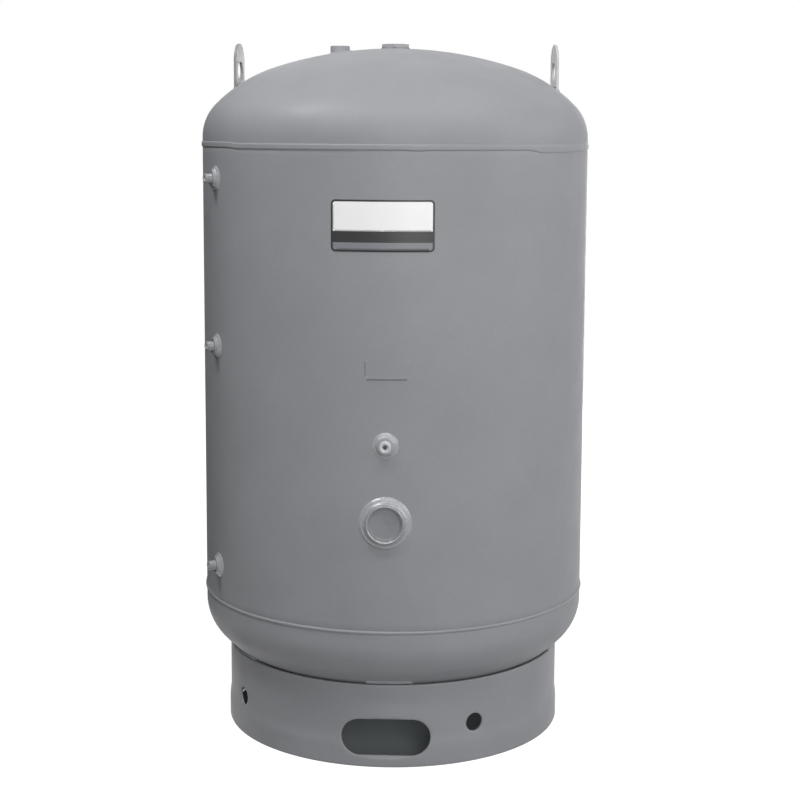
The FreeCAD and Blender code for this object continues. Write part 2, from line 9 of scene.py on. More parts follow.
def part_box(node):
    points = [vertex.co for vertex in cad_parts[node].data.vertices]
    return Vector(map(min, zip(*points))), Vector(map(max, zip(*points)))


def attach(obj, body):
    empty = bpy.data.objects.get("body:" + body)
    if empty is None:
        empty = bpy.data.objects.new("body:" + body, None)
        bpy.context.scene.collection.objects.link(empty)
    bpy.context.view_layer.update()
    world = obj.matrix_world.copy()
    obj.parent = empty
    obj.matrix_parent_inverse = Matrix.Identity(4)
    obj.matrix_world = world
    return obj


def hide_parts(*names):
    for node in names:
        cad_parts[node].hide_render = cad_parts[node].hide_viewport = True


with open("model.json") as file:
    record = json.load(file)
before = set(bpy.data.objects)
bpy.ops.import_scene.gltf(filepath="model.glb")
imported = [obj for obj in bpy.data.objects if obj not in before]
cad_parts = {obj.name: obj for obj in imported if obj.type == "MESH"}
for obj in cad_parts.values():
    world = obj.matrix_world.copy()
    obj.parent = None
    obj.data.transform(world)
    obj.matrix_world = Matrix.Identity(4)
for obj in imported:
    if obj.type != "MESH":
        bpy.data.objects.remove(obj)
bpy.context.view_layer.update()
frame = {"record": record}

# Looks of an unjacketed hot-water storage tank. Metres, in the CAD frame: the tank's axis is Z, the floor
# is z = 0 and the front of the tank faces -Y. Azimuths are degrees from the front, positive towards +X.

# ---- sizes, from the frame where it has them

LOW, HIGH = 0, 1
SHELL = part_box("shell")
RADIUS = SHELL[HIGH].x
BOTTOM_SEAM = SHELL[LOW].z
TOP_SEAM = SHELL[HIGH].z
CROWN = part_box("top_head")[HIGH].z
BOTTOM_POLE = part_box("bottom_head")[LOW].z
RING_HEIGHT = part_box("base_ring")[HIGH].z
WALL = 0.006

# Heads: knuckle, shoulder and crown arcs, then a straight flange and a lip inside the shell
KNUCKLE_RADIUS = 0.1074
KNUCKLE_TURN = radians(44.32)
SHOULDER_RADIUS = 0.349
SHOULDER_TURN = radians(27.63)
TOP_FLANGE = 0.022
BOTTOM_FLANGE = 0.034
LIP_STEP = 0.0063
LIP_LENGTH = 0.020

# Base ring; JOINT_DROP opens the dark gap between its top edge and the head
RING_RADIUS = 0.400
JOINT_DROP = 0.0028
FLARE, FLARE_HEIGHT, FLARE_RUN = 0.003, 0.042, 0.034
SLOT_RUN, SLOT_RADIUS, SLOT_HEIGHT = 0.059, 0.042, 0.068
HOLE_RADIUS, HOLE_HEIGHT = 0.021, 0.090
HOLE_AZIMUTHS = (-60.0, 30.0, 120.0, -150.0)
TACK_AZIMUTHS = (-59.0, 1.0, 77.0, 129.0, 181.0, 241.0)
FLUSH_TACK = 1.0
TACK_LENGTH, TACK_RISE = 0.110, 0.0025

# Seam beads, rims of pierced sheets, and depths of dents in the plate and pits in the rod
SEAM_AZIMUTH, RING_SEAM_AZIMUTH = 180.0, 165.0
SEAM_WIDTH, SEAM_HEIGHT = 0.009, 0.0016
SHEET_RIM, RING_RIM, LUG_RIM = 0.0008, 0.0016, 0.0010
DENT_DEPTH, ROD_PITTING = 0.00035, 0.00035

# Small connections: half coupling, then nipple with a countersunk mouth
SIDE_AZIMUTH = -61.0
SMALL_RADIUS, SMALL_REACH = 0.0190, 0.0105
NIPPLE_RADIUS, NIPPLE_CORE, NIPPLE_BORE, NIPPLE_REACH = 0.01335, 0.0126, 0.0078, 0.0230
NIPPLE_MOUTH, SLIM_MOUTH, MOUTH_CHAMFER = 0.0044, 0.0036, 0.0034
SLIM_NIPPLE, LONG_NIPPLE = 0.0110, 0.0265
NIPPLE_ENGAGEMENT = 0.0140

# Large connection: sloped rim, chamfered bore and a plug with a dished edge
LARGE_RADIUS, LARGE_BORE, LARGE_REACH = 0.0445, 0.0370, 0.0180
LARGE_SHOULDER, LARGE_CREST, LARGE_CHAMFER = 0.0115, 0.0408, 0.0036
PLUG_RECESS, PLUG_THICKNESS, PLUG_LIP = 0.0085, 0.020, 0.0014
PLUG_FLAT, PLUG_RIM = 0.0325, 0.0035

# Outlet, drain, spud and anode
OUTLET_RADIUS, OUTLET_BORE, OUTLET_REACH = 0.0230, 0.0155, 0.0155
DRAIN_REACH, DRAIN_FLATS, DRAIN_HEAD, DRAIN_ENGAGEMENT = 0.014, 0.036, 0.014, 0.018
SPUD_RADIUS, SPUD_REACH, SPUD_INNER = 0.034, 0.0023, 0.024
ANODE_THREAD, ANODE_FLATS, ANODE_HEAD, ANODE_SHANK = 0.0241, 0.0635, 0.0087, 0.026
ROD_RADIUS, WIRE_RADIUS = 0.013, 0.002
SHORT_ENGAGEMENT, LONG_ENGAGEMENT = WALL + 0.004, WALL + 0.008
PIPE_PITCH, LARGE_PITCH = 0.0254 / 14, 0.0254 / 11.5
NIPPLE_CUT, OUTLET_CUT, DRAIN_CUT, LARGE_CUT = 0.00055, 0.0010, 0.0008, 0.0009
SNUG = 0.0001

# Lifting lugs
LUG_AZIMUTH = 97.0
LUG_DISTANCE = RADIUS - 0.075
LUG_WIDTH, LUG_THICKNESS, LUG_HEIGHT = 0.080, 0.0064, 0.108
LUG_HOLE, LUG_HOLE_DROP = 0.0210, 0.064
LUG_LEG = 0.006

# Profiles of the welds round the fittings and the lugs: (offset from the wall, height over the tank)
SMALL_WELD = ((0.0, 0.0072), (0.0014, 0.0064), (0.0034, 0.0041), (0.0048, 0.0034), (0.0062, 0.0030),
              (0.0080, 0.0018), (0.0094, 0.0007), (0.0101, 0.0003))
LARGE_WELD = ((0.0, 0.0108), (0.0014, 0.0102), (0.0042, 0.0070), (0.0062, 0.0056), (0.0092, 0.0050),
              (0.0116, 0.0030), (0.0136, 0.0010), (0.0145, 0.0003))
HEAD_WELD = ((0.0, 0.0028), (0.0020, 0.0025), (0.0044, 0.0017), (0.0066, 0.0008), (0.0078, 0.0002))
SPUD_WELD = ((0.0, 0.0009), (0.0030, 0.0010), (0.0056, 0.0008), (0.0078, 0.0003))
LUG_WELD = ((0.0, LUG_LEG), (0.0020, 0.0044), (0.0042, 0.0020), (LUG_LEG, 0.0002))
WELD_SINK, LUG_WELD_SINK = 0.0012, 0.0010

# Name label and data plate
LABEL_WIDTH, LABEL_HEIGHT, LABEL_AZIMUTH, LABEL_BORDER = 0.222, 0.111, -1.0, 0.0042
LABEL_CORNER, FIELD_CORNER, SQUARE_CORNER = 0.009, 0.0052, 0.0002
PLATE_WIDTH, PLATE_HEIGHT, PLATE_AZIMUTH, PLATE_CORNER = 0.100, 0.047, 0.5, 0.003
PLATE_CURL, CURL_REACH = 0.0006, 0.009
FIELD_SPAN, BAND_SPAN = (0.038, 0.605), (0.822, 0.962)
GROUND_LAYER, PRINT_LAYER, PLATE_LAYER = (0.0003, 0.00062), (0.00050, 0.00070), (-0.0008, 0.00003)
PIN_RADIUS, PIN_INSET, PIN_PROUD, PIN_FLUSH = 0.0022, 0.006, 0.0024, 0.0003

MOUNTS = {mount["name"]: mount["pos_m"] for mount in frame["record"]["mounts"]}
OUTLET_X = MOUNTS["hot_outlet"][0]


def middle(node):
    """Height of the middle of a CAD node."""
    low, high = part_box(node)
    return 0.5 * (low.z + high.z)


LARGE_HEIGHT = middle("front_large_coupling")
SMALL_PORTS = [("side_" + level, SIDE_AZIMUTH, MOUNTS["side_%s_connection" % level][2], SLIM_NIPPLE,
                LONG_NIPPLE, SLIM_MOUTH) for level in ("upper", "middle", "lower")]
SMALL_PORTS.append(("front_small", 0.0, MOUNTS["front_small_connection"][2], NIPPLE_RADIUS, NIPPLE_REACH,
                    NIPPLE_MOUTH))


# ---- materials

def feed(tree, node, inputs):
    """Give a node's inputs their values, or link them where the value is another node's output."""
    for key, value in inputs.items():
        if isinstance(value, bpy.types.NodeSocket):
            tree.links.new(value, node.inputs[key])
        else:
            node.inputs[key].default_value = value


def added(tree, kind, output, inputs, **attributes):
    """Output of a new shader node of a kind, once its attributes and inputs are set."""
    node = tree.nodes.new("ShaderNode" + kind)
    for name, value in attributes.items():
        setattr(node, name, value)
    feed(tree, node, inputs)
    return node.outputs[output]


def new_material(name):
    """Material with nodes, and its tree."""
    made = bpy.data.materials.new(name)
    made.use_nodes = True
    return made, made.node_tree


def ranged(tree, value, start, end, low, high):
    """A value mapped from start..end to low..high."""
    return added(tree, "MapRange", "Result", {"From Min": start, "From Max": end, "To Min": low,
                 "To Max": high, "Value": value})


def mixed(tree, share, first, second):
    """Colour between two."""
    return added(tree, "Mix", "Result", {"A": first, "B": second, "Factor": share}, data_type="RGBA")


def maths(tree, operation, first, second):
    """Two values put together by a math node."""
    return added(tree, "Math", "Value", {0: first, 1: second}, operation=operation)


def colour(tint, factor):
    """Scene-linear RGBA of written 0-255 levels, all above the dark end's straight stretch, scaled."""
    return tuple(min(1.0, ((level / 255.0 + 0.055) / 1.055) ** 2.4 * factor) for level in tint) + (1.0,)


def surface(name, tint, roughness, specular, mottle, cloud, grain, peel, peel_scale, swing=0.05,
            metallic=0.0):
    """Principled material: a cloudy tint, uneven gloss and a fine relief, all from noise in object space.

    mottle is how far the tint swings either way and swing how far the roughness does, cloud and grain are
    the scales of the large and small patches, and peel is the depth of the relief in metres.
    """
    made, tree = new_material(name)
    where = added(tree, "TexCoord", "Object", {})

    def patches(scale, detail, rough=0.55):
        return added(tree, "TexNoise", "Fac",
                     {"Scale": scale, "Detail": detail, "Roughness": rough, "Vector": where})

    def evened(value, low, high):
        return ranged(tree, value, 0.3, 0.7, low, high)

    shade = maths(tree, "ADD", evened(patches(cloud, 5.0), 0.0, 0.72), evened(patches(grain, 3.0), 0.0, 0.28))
    base = mixed(tree, shade, colour(tint, 1.0 - mottle), colour(tint, 1.0 + mottle))
    gloss = evened(patches(cloud * 2.3, 4.0), roughness - swing, roughness + swing)
    relief = added(tree, "Bump", "Normal",
                   {"Strength": 0.6, "Distance": peel, "Height": patches(peel_scale, 4.0, 0.6)})
    feed(tree, tree.nodes["Principled BSDF"],
         {"Metallic": metallic, "Specular IOR Level": specular, "Base Color": base, "Roughness": gloss,
          "Normal": relief})
    return made


PAINT = surface("tank_paint", (147, 148, 152), 0.50, 0.28, 0.06, 6.0, 120.0, 0.00010, 260.0)
WELD_PAINT = surface("painted_weld", (148, 149, 153), 0.29, 0.95, 0.07, 24.0, 260.0, 0.00014, 520.0, 0.07)
FITTING_PAINT = surface("painted_fitting", (146, 147, 151), 0.30, 0.85, 0.05, 30.0, 300.0, 0.00006, 700.0,
                        0.07)
SEAM_PAINT = surface("painted_seam", (149, 150, 154), 0.46, 0.25, 0.04, 9.0, 160.0, 0.00005, 300.0, 0.04)
# Lit and shaded copies of the tank's grey: the plug head's and the right lug's lighter tints are painted
# highlights, the left lug's darker tint is painted shade.
HEX_PAINTED_HIGHLIGHT, LEFT_LUG_PAINTED_SHADE, RIGHT_LUG_PAINTED_HIGHLIGHT = (
    surface(name, tint, 0.46, 0.4, 0.05, 16.0, 200.0, 0.00005, 420.0)
    for name, tint in (("painted_plug_head", (158, 159, 162)), ("painted_lug_left", (140, 140, 142)),
                       ("painted_lug_right", (194, 194, 196))))
# Painted shade: a darker copy of the grey paint for the face of the recessed plug.
PLUG_PAINTED_SHADE = surface("painted_plug", (138, 139, 143), 0.44, 0.3, 0.06, 30.0, 300.0, 0.00008, 600.0)
# Painted highlight: a much lighter copy of the grey paint for the front nipple, which is painted like the
# tank.
NIPPLE_PAINTED_HIGHLIGHT = surface("thin_paint", (192, 193, 196), 0.28, 0.7, 0.06, 34.0, 320.0, 0.00005, 800.0)
INNER_STEEL = surface("machined_steel", (168, 168, 166), 0.34, 0.5, 0.12, 40.0, 420.0, 0.00003, 1200.0,
                      0.08, 0.9)
MAGNESIUM = surface("cast_magnesium", (150, 151, 152), 0.58, 0.5, 0.16, 22.0, 240.0, 0.00022, 480.0,
                    0.10, 0.75)
LABEL_BLACK = surface("label_black", (38, 38, 40), 0.34, 0.4, 0.05, 30.0, 500.0, 0.00001, 900.0)
LABEL_WHITE = surface("label_white", (250, 250, 250), 0.36, 0.4, 0.015, 26.0, 500.0, 0.00001, 900.0)
LABEL_GREY = surface("label_grey", (128, 130, 135), 0.36, 0.4, 0.03, 26.0, 500.0, 0.00001, 900.0)


# ---- meshes: each is a pair (vertices, faces)

def linked(name, data):
    """New object of the scene."""
    made = bpy.data.objects.new(name, data)
    bpy.context.scene.collection.objects.link(made)
    return made


def finished(name, shape, material, node, slot="grey_paint", body="tank", sharp=35.0):
    """Weld a mesh's borders together, turn its faces outwards and let it stand for its CAD node."""
    vertices, faces = shape
    bm = bmesh.new()
    made = [bm.verts.new(v) for v in vertices]
    for face in faces:
        bm.faces.new([made[i] for i in face])
    bmesh.ops.remove_doubles(bm, verts=bm.verts, dist=2e-6)
    bmesh.ops.dissolve_degenerate(bm, dist=1e-7, edges=bm.edges)
    bmesh.ops.delete(bm, geom=[v for v in bm.verts if not v.link_faces], context="VERTS")
    bmesh.ops.recalc_face_normals(bm, faces=bm.faces)
    mesh = bpy.data.meshes.new(name)
    bm.to_mesh(mesh)
    bm.free()
    mesh.polygons.foreach_set("use_smooth", [True] * len(mesh.polygons))
    mesh.set_sharp_from_angle(angle=radians(sharp))
    mesh.materials.append(material)
    piece = linked(name, mesh)
    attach(piece, body)
    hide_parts(node)


def spread(low, high, count):
    """Even steps from one value to another."""
    return [low + (high - low) * i / count for i in range(count + 1)]


def around(columns):
    """(angle, cosine, sine) of columns evenly spaced over a full turn."""
    turns = [2 * pi * j / columns for j in range(columns)]
    return [(turn, cos(turn), sin(turn)) for turn in turns]


def band_faces(rows, columns, open_rows=False, open_columns=False):
    """Quads of a grid of rows x columns of vertices, which closes both ways unless told otherwise."""
    faces = []
    for i in range(rows - open_rows):
        below, above = i * columns, ((i + 1) % rows) * columns
        for j in range(columns - open_columns):
            k = (j + 1) % columns
            faces.append((below + j, below + k, above + k, above + j))
    return faces


def capped(rows, columns):
    """Faces of a bar: rows of a closed section of columns vertices, shut at both ends."""
    ends = [tuple(i * columns + j for j in range(columns)) for i in (0, rows - 1)]
    return band_faces(rows, columns, True) + ends


def merged(*shapes):
    """Several closed meshes as one."""
    vertices, faces = [], []
    for more, quads in shapes:
        faces += [tuple(len(vertices) + i for i in quad) for quad in quads]
        vertices += more
    return vertices, faces


def turned(rows, place, columns=96, pitch=PIPE_PITCH):
    """A closed outline turned about a fitting's axis.

    rows are (radius, height), or (radius, height, depth) along a helical thread: a positive depth cuts
    into an outside wall, a negative one into a bore.
    """
    vertices = []
    for radius, height, *depth in rows:
        for angle, x, y in around(columns):
            size = radius
            if depth:
                size -= depth[0] * min(1.0, 2.6 * abs((height / pitch + angle / (2 * pi)) % 1.0 - 0.5))
            vertices.append(place(size * x, size * y, height))
    return vertices, band_faces(len(rows), columns)


def rounded(points, radius, steps=4):
    """A closed (radius, height) outline with its corners rounded."""
    out = []
    for i, corner in enumerate(points):
        here = Vector(corner)
        before = Vector(points[i - 1]) - here
        after = Vector(points[(i + 1) % len(points)]) - here
        start = here + before.normalized() * min(radius, 0.45 * before.length)
        end = here + after.normalized() * min(radius, 0.45 * after.length)
        for step in range(steps + 1):
            t = step / steps
            out.append((1 - t) ** 2 * start + 2 * t * (1 - t) * here + t ** 2 * end)
    return [(max(p.x, 0.0), p.y) for p in out]


def sleeve(outer, bore, low, high, soft=0.0014):
    """Rounded outline of a tube, or of a solid disc where the bore is nothing."""
    return rounded([(bore, low), (outer, low), (outer, high), (bore, high)], soft)


def thread_rows(radius, low, high, depth, pitch, per_turn=8):
    """Rows along a threaded wall between two heights, its thread running out at both ends."""
    count = max(2, round(abs(high - low) / pitch * per_turn))
    return [(radius, low + (high - low) * share, depth * min(1.0, 5.0 * share, 5.0 * (1.0 - share)))
            for share in (i / count for i in range(count + 1))]


def smooth_path(knots, steps):
    """Points on a smooth curve through knots (offset, height)."""
    out = []
    for i in range(len(knots) - 1):
        a, b = knots[max(i - 1, 0)], knots[i]
        c, d = knots[i + 1], knots[min(i + 2, len(knots) - 1)]
        for step in range(steps):
            t = step / steps
            out.append(tuple(0.5 * ((2 * q) + (r - p) * t + (2 * p - 5 * q + 4 * r - s) * t ** 2
                                    + (3 * q - p - 3 * r + s) * t ** 3) for p, q, r, s in zip(a, b, c, d)))
    return out + [knots[-1]]


# ---- places and surfaces

def on_wall(azimuth, height):
    """Map from a fitting's own axes (z outwards) to the tank's, for a fitting on the shell."""
    turn = Matrix.Rotation(radians(azimuth), 4, "Z")
    lie = Matrix.Rotation(radians(90), 4, "X")
    whole = turn @ Matrix.Translation((0, -RADIUS, height)) @ lie
    return lambda x, y, z: whole @ Vector((x, y, z))


def upright(x, height):
    """Map for a fitting that stands on the top head."""
    return lambda u, v, w: Vector((x + u, v, height + w))


def hanging(height):
    """Map for a fitting that hangs from the bottom head."""
    return lambda u, v, w: Vector((u, -v, height - w))


def on_round(azimuth, radius, height):
    """Point at an azimuth in radians, a distance from the tank's axis and a height."""
    return Vector((radius * sin(azimuth), -radius * cos(azimuth), height))


# A head's outside: arcs as (centre radius, centre rise), size, and turns from the equator's plane.
KNUCKLE_CENTRE = (RADIUS - KNUCKLE_RADIUS, 0.0)
SHOULDER_CENTRE = (KNUCKLE_CENTRE[0] - (SHOULDER_RADIUS - KNUCKLE_RADIUS) * cos(KNUCKLE_TURN),
                   -(SHOULDER_RADIUS - KNUCKLE_RADIUS) * sin(KNUCKLE_TURN))
CROWN_EDGE = KNUCKLE_TURN + SHOULDER_TURN
CROWN_RADIUS = SHOULDER_RADIUS + SHOULDER_CENTRE[0] / cos(CROWN_EDGE)
CROWN_CENTRE = (0.0, SHOULDER_CENTRE[1] - SHOULDER_CENTRE[0] * tan(CROWN_EDGE))
ARCS = ((KNUCKLE_CENTRE, KNUCKLE_RADIUS, 0.0, KNUCKLE_TURN),
        (SHOULDER_CENTRE, SHOULDER_RADIUS, KNUCKLE_TURN, CROWN_EDGE),
        (CROWN_CENTRE, CROWN_RADIUS, CROWN_EDGE, pi / 2))
HEAD_DEPTH = CROWN_CENTRE[1] + CROWN_RADIUS
TOP_EQUATOR = TOP_SEAM + TOP_FLANGE
BOTTOM_EQUATOR = BOTTOM_SEAM - BOTTOM_FLANGE
DOME_LENGTH = sum(size * (end - start) for _, size, start, end in ARCS)


def head_rise(radius):
    """Height of the outside of a head over its equator at a distance from the axis."""
    for centre, size, _, end in ARCS:
        if radius >= centre[0] + size * cos(end) - 1e-9:
            return centre[1] + sqrt(max(0.0, size ** 2 - (radius - centre[0]) ** 2))
    return HEAD_DEPTH


def meridian(length, flange):
    """(radius, rise, normal angle) at a length along a head's outside from its pole."""
    left = length
    for centre, size, start, end in reversed(ARCS):
        span = size * (end - start)
        if left <= span:
            turn = end - left / size
            return centre[0] + size * cos(turn), centre[1] + size * sin(turn), turn
        left -= span
    straight = flange - LIP_STEP
    if left <= straight:
        return RADIUS, -left, 0.0
    left -= straight
    slope = LIP_STEP * sqrt(2)
    if left <= slope:
        step = left / sqrt(2)
        return RADIUS - step, -straight - step, 0.0
    return RADIUS - LIP_STEP, -flange - (left - slope), 0.0


def length_at(radius):
    """Length from the pole along a head's outside at a distance from the axis."""
    low, high = 0.0, DOME_LENGTH
    for _ in range(40):
        half = 0.5 * (low + high)
        low, high = (half, high) if meridian(half, TOP_FLANGE)[0] < radius else (low, half)
    return 0.5 * (low + high)


def wall_sag(x, y):
    """Depth of the shell under the plane that touches it, beside a fitting's axis."""
    return sqrt(RADIUS ** 2 - x ** 2) - RADIUS


def head_sag(offset):
    """The same for a fitting that stands on a head at a distance from its pole along X."""
    base = head_rise(abs(offset))
    return lambda x, y: head_rise(hypot(offset + x, y)) - base


def dent(point):
    """Shallow unevenness of rolled and pressed plate, inwards only."""
    wave = noise.noise(point * 2.6) + 0.5 * noise.noise(point * 6.1 + Vector((5.0, 1.0, 3.0)))
    return DENT_DEPTH * (0.5 + 0.33 * wave)


def on_ring(angle, scale, shift):
    """Noise that closes on itself over a full turn."""
    return noise.noise(Vector((scale * cos(angle), scale * sin(angle), shift)))


# ---- pierced sheets

def inside(point, loop):
    """Whether a flat point lies inside a loop."""
    x, y = point
    crossed = sum((y1 > y) != (y2 > y) and x < (x2 - x1) * (y - y1) / (y2 - y1) + x1
                  for (x1, y1), (x2, y2) in zip(loop, loop[1:] + loop[:1]))
    return crossed % 2 == 1


def nearest(point, loop):
    """Distance from a flat point to the nearest corner of a loop."""
    return min(dist(point, corner) for corner in loop)


def crowded(point, fences, gap):
    """Whether a flat point lies inside one of the fenced loops or closer to it than a gap."""
    return any(dist(point, centre) < reach + gap and (inside(point, loop) or nearest(point, loop) < gap)
               for centre, reach, loop in fences)


def closed_edges(base, count):
    """Edges of a loop of count corners, the first of them numbered base."""
    return [(base + i, base + (i + 1) % count) for i in range(count)]


def mean_point(points):
    """Middle of flat points."""
    return tuple(sum(p[axis] for p in points) / len(points) for axis in (0, 1))


def circle(centre, radius, count=72):
    """Loop round a centre as a function of its growth."""
    compass = around(count)
    return lambda growth: [(centre[0] + (radius + growth) * x, centre[1] + (radius + growth) * y)
                           for _, x, y in compass]


def obround(centre, run, radius, count=24):
    """Round-ended loop round a centre as a function of its growth."""
    turns = [(side * run, -0.5 * side * pi + pi * i / count)
             for side in (1, -1) for i in range(count + 1)]
    return lambda growth: [(centre[0] + shift + (radius + growth) * cos(turn),
                            centre[1] + (radius + growth) * sin(turn)) for shift, turn in turns]


def unrolled(loop, azimuth, radius):
    """A straight cut's loop, laid out on an unrolled round wall."""
    base = radians(azimuth) * radius
    return lambda growth: [(base + radius * asin(x / radius), y) for x, y in loop(growth)]


def two_sided(flat, faces, place, near, far):
    """Both sides of a sheet, from its flat points and faces."""
    count = len(flat)
    vertices = [place(p.x, p.y, near) for p in flat] + [place(p.x, p.y, far) for p in flat]
    return vertices, [tuple(f) for f in faces] + [tuple(count + i for i in reversed(f)) for f in faces]


def pierced(points, holes, borders, place, wall, rim, outline=None, gap=0.0025):
    """A closed sheet, pierced by holes and rounded at every rim.

    points are flat, holes and the outline give a loop for a growth, borders are pairs (what gives a row
    for an inset, whether it closes), and place(u, v, depth) maps a flat point and a depth under the
    outside to the tank's axes. Points keep the gap from every loop.
    """
    loops = [hole(rim) for hole in holes]
    fences = [(centre, max(dist(p, centre) for p in loop), loop)
              for centre, loop in ((mean_point(loop), loop) for loop in loops)]
    ring = outline(rim) if outline else []
    if ring:
        points = [p for p in points if inside(p, ring) and nearest(p, ring) > gap]
    coords, edges = [], []
    for loop in ([ring] if ring else []) + loops:
        edges += closed_edges(len(coords), len(loop))
        coords += loop
    coords += [p for p in points if not crowded(p, fences, gap)]
    flat, _, triangles = geometry.delaunay_2d_cdt([Vector(c) for c in coords], edges, [], 0, 1e-7)[:3]
    kept = []
    for face in triangles:
        centre = mean_point([flat[i] for i in face])
        if not crowded(centre, fences, 0.0) and (not ring or inside(centre, ring)):
            kept.append(face)
    vertices, faces = two_sided(flat, kept, place, 0.0, wall)
    soft = 0.29 * rim
    steps = ((rim, 0.0), (soft, soft), (0.0, rim), (0.0, wall - rim), (soft, wall - soft), (rim, wall))
    whole = [outline] if outline else []
    parts = [(vertices, faces)]
    for row_at, closed in [(loop, True) for loop in whole + holes] + borders:
        rows = [place(u, v, depth) for growth, depth in steps for u, v in row_at(growth)]
        parts.append((rows, band_faces(len(steps), len(row_at(0.0)), True, not closed)))
    return merged(*parts)


def rolled_sheet(radius, low, high, columns, rows, holes, rim, proud=lambda level: 0.0, uneven=1.0):
    """A pierced round wall that stands proud by a height's own amount.

    holes are loops already laid out on the unrolled wall, and uneven scales its dents.
    """
    def place(u, v, depth):
        outside = on_round(u / radius, radius, v)
        return on_round(u / radius, radius + proud(v) - depth - uneven * dent(outside), v)

    across = spread(-pi * radius, pi * radius, columns)
    points = [(u, v) for v in spread(low + rim, high - rim, rows) for u in across]
    borders = [(lambda inset: [(u, low + inset) for u in across], False),
               (lambda inset: [(u, high - inset) for u in across], False)]
    return pierced(points, holes, borders, place, WALL, rim)


# ---- shell and heads

def build_shell():
    """Rolled shell with its fittings' holes."""
    places = [(azimuth, height, SMALL_RADIUS) for _, azimuth, height, *_ in SMALL_PORTS]
    places.append((0.0, LARGE_HEIGHT, LARGE_RADIUS))
    holes = [unrolled(circle((0.0, height), size), azimuth, RADIUS) for azimuth, height, size in places]
    sheet = rolled_sheet(RADIUS, BOTTOM_SEAM, TOP_SEAM, 288, 66, holes, SHEET_RIM)
    finished("shell_plate", sheet, PAINT, "shell")


def on_head(loop):
    """A round cut's loop, laid out on a head's flattened outside."""
    def laid(x, y):
        radius = hypot(x, y)
        length = length_at(radius)
        return x * length / radius, y * length / radius

    return lambda growth: [laid(x, y) for x, y in loop(growth)]


def build_head(name, node, equator, up, flange, holes):
    """Dished head; holes are (x on the head, radius) of round holes through it."""
    whole = DOME_LENGTH + flange - LIP_STEP + LIP_STEP * sqrt(2) + LIP_LENGTH
    compass = around(216)

    def place(u, v, depth):
        length = hypot(u, v)
        radius, rise, turn = meridian(length, flange)
        share = 1.0 / length if length > 1e-9 else 0.0
        outside = Vector((u * share * radius, v * share * radius, equator + up * rise))
        sink = dent(outside)
        size = radius - depth * cos(turn) - sink * cos(turn)
        height = equator + up * (rise - (depth + sink) * sin(turn))
        return Vector((u * share * size, v * share * size, height))

    lengths = spread(0.0, DOME_LENGTH, 56)[2:] + spread(DOME_LENGTH, whole - SHEET_RIM, 9)[1:]
    points = [(length * x, length * y) for length in lengths for _, x, y in compass]
    edge = (lambda inset: [((whole - inset) * x, (whole - inset) * y) for _, x, y in compass], True)
    loops = [on_head(circle((x, 0.0), size)) for x, size in holes]
    finished(name, pierced(points, loops, [edge], place, WALL, SHEET_RIM), PAINT, node)


def bump_at(angle, centre, width):
    """Smooth hump of height one, centred on an azimuth in degrees and as wide as given."""
    gap = (degrees(angle) - centre + 180.0) % 360.0 - 180.0
    return max(0.0, 1.0 - (gap / width) ** 2) ** 2


def ledge(angle, start, run, end, fall):
    """Smooth step up to one over run degrees from start, and back to nothing over fall degrees at end."""
    bearing = (degrees(angle) + 180.0) % 360.0 - 180.0
    up = min(1.0, max(0.0, (bearing - start) / run))
    down = min(1.0, max(0.0, (end - bearing) / fall))
    return up * up * (3 - 2 * up) * down * down * (3 - 2 * down)


def total(shape, angle, rows):
    """Sum over rows (size, where...) of humps or ledges at an angle."""
    return sum(size * shape(angle, *where) for size, *where in rows)


def build_girth_weld(name, node, seam, up, toe, height, joints, shift, flatness, ledges=(), lifts=()):
    """Bead round a head's joint, faintly rippled, with tie-ins where the welder started again.

    flatness is how square the bead is across, ledges widen the bead on the shell's side over a stretch,
    and lifts move it towards the head.
    """
    columns, across, pitch = 2160, 12, 0.0104
    vertices = []
    for angle, _, _ in around(columns):
        wander = 0.0006 * on_ring(angle, 9.0, shift) + 0.0003 * on_ring(angle, 40.0, shift + 3.0)
        tie = total(bump_at, angle, joints) + total(ledge, angle, ledges)
        raised = total(ledge, angle, lifts)
        low = seam - up * (toe - wander + tie - raised)
        high = seam + up * (LIP_STEP + toe + wander + raised)
        lift = height * (1.0 + 0.10 * on_ring(angle, 26.0, shift + 7.0))
        along = angle * RADIUS / pitch * 2 * pi
        for i in range(across + 1):
            share = 0.5 - 0.5 * cos(pi * i / across)
            rise = 0.0
            if 0 < i < across:
                ripple = 1.0 + 0.006 * sin(along - 1.6 * (share - 0.5) ** 2 * 4)
                rise = min(height, lift * (1.0 - abs(2 * share - 1) ** flatness) ** 0.8 * ripple)
            vertices.append(on_round(angle, RADIUS + rise, low + (high - low) * share))
        for radius, level in ((RADIUS - 0.0003, seam + up * LIP_STEP), (RADIUS - LIP_STEP + 0.0003, seam),
                              (RADIUS - 0.0004, seam)):
            vertices.append(on_round(angle, radius, level))
    faces = band_faces(columns, across + 4)
    finished(name, (vertices, faces), SEAM_PAINT, node, sharp=60.0)


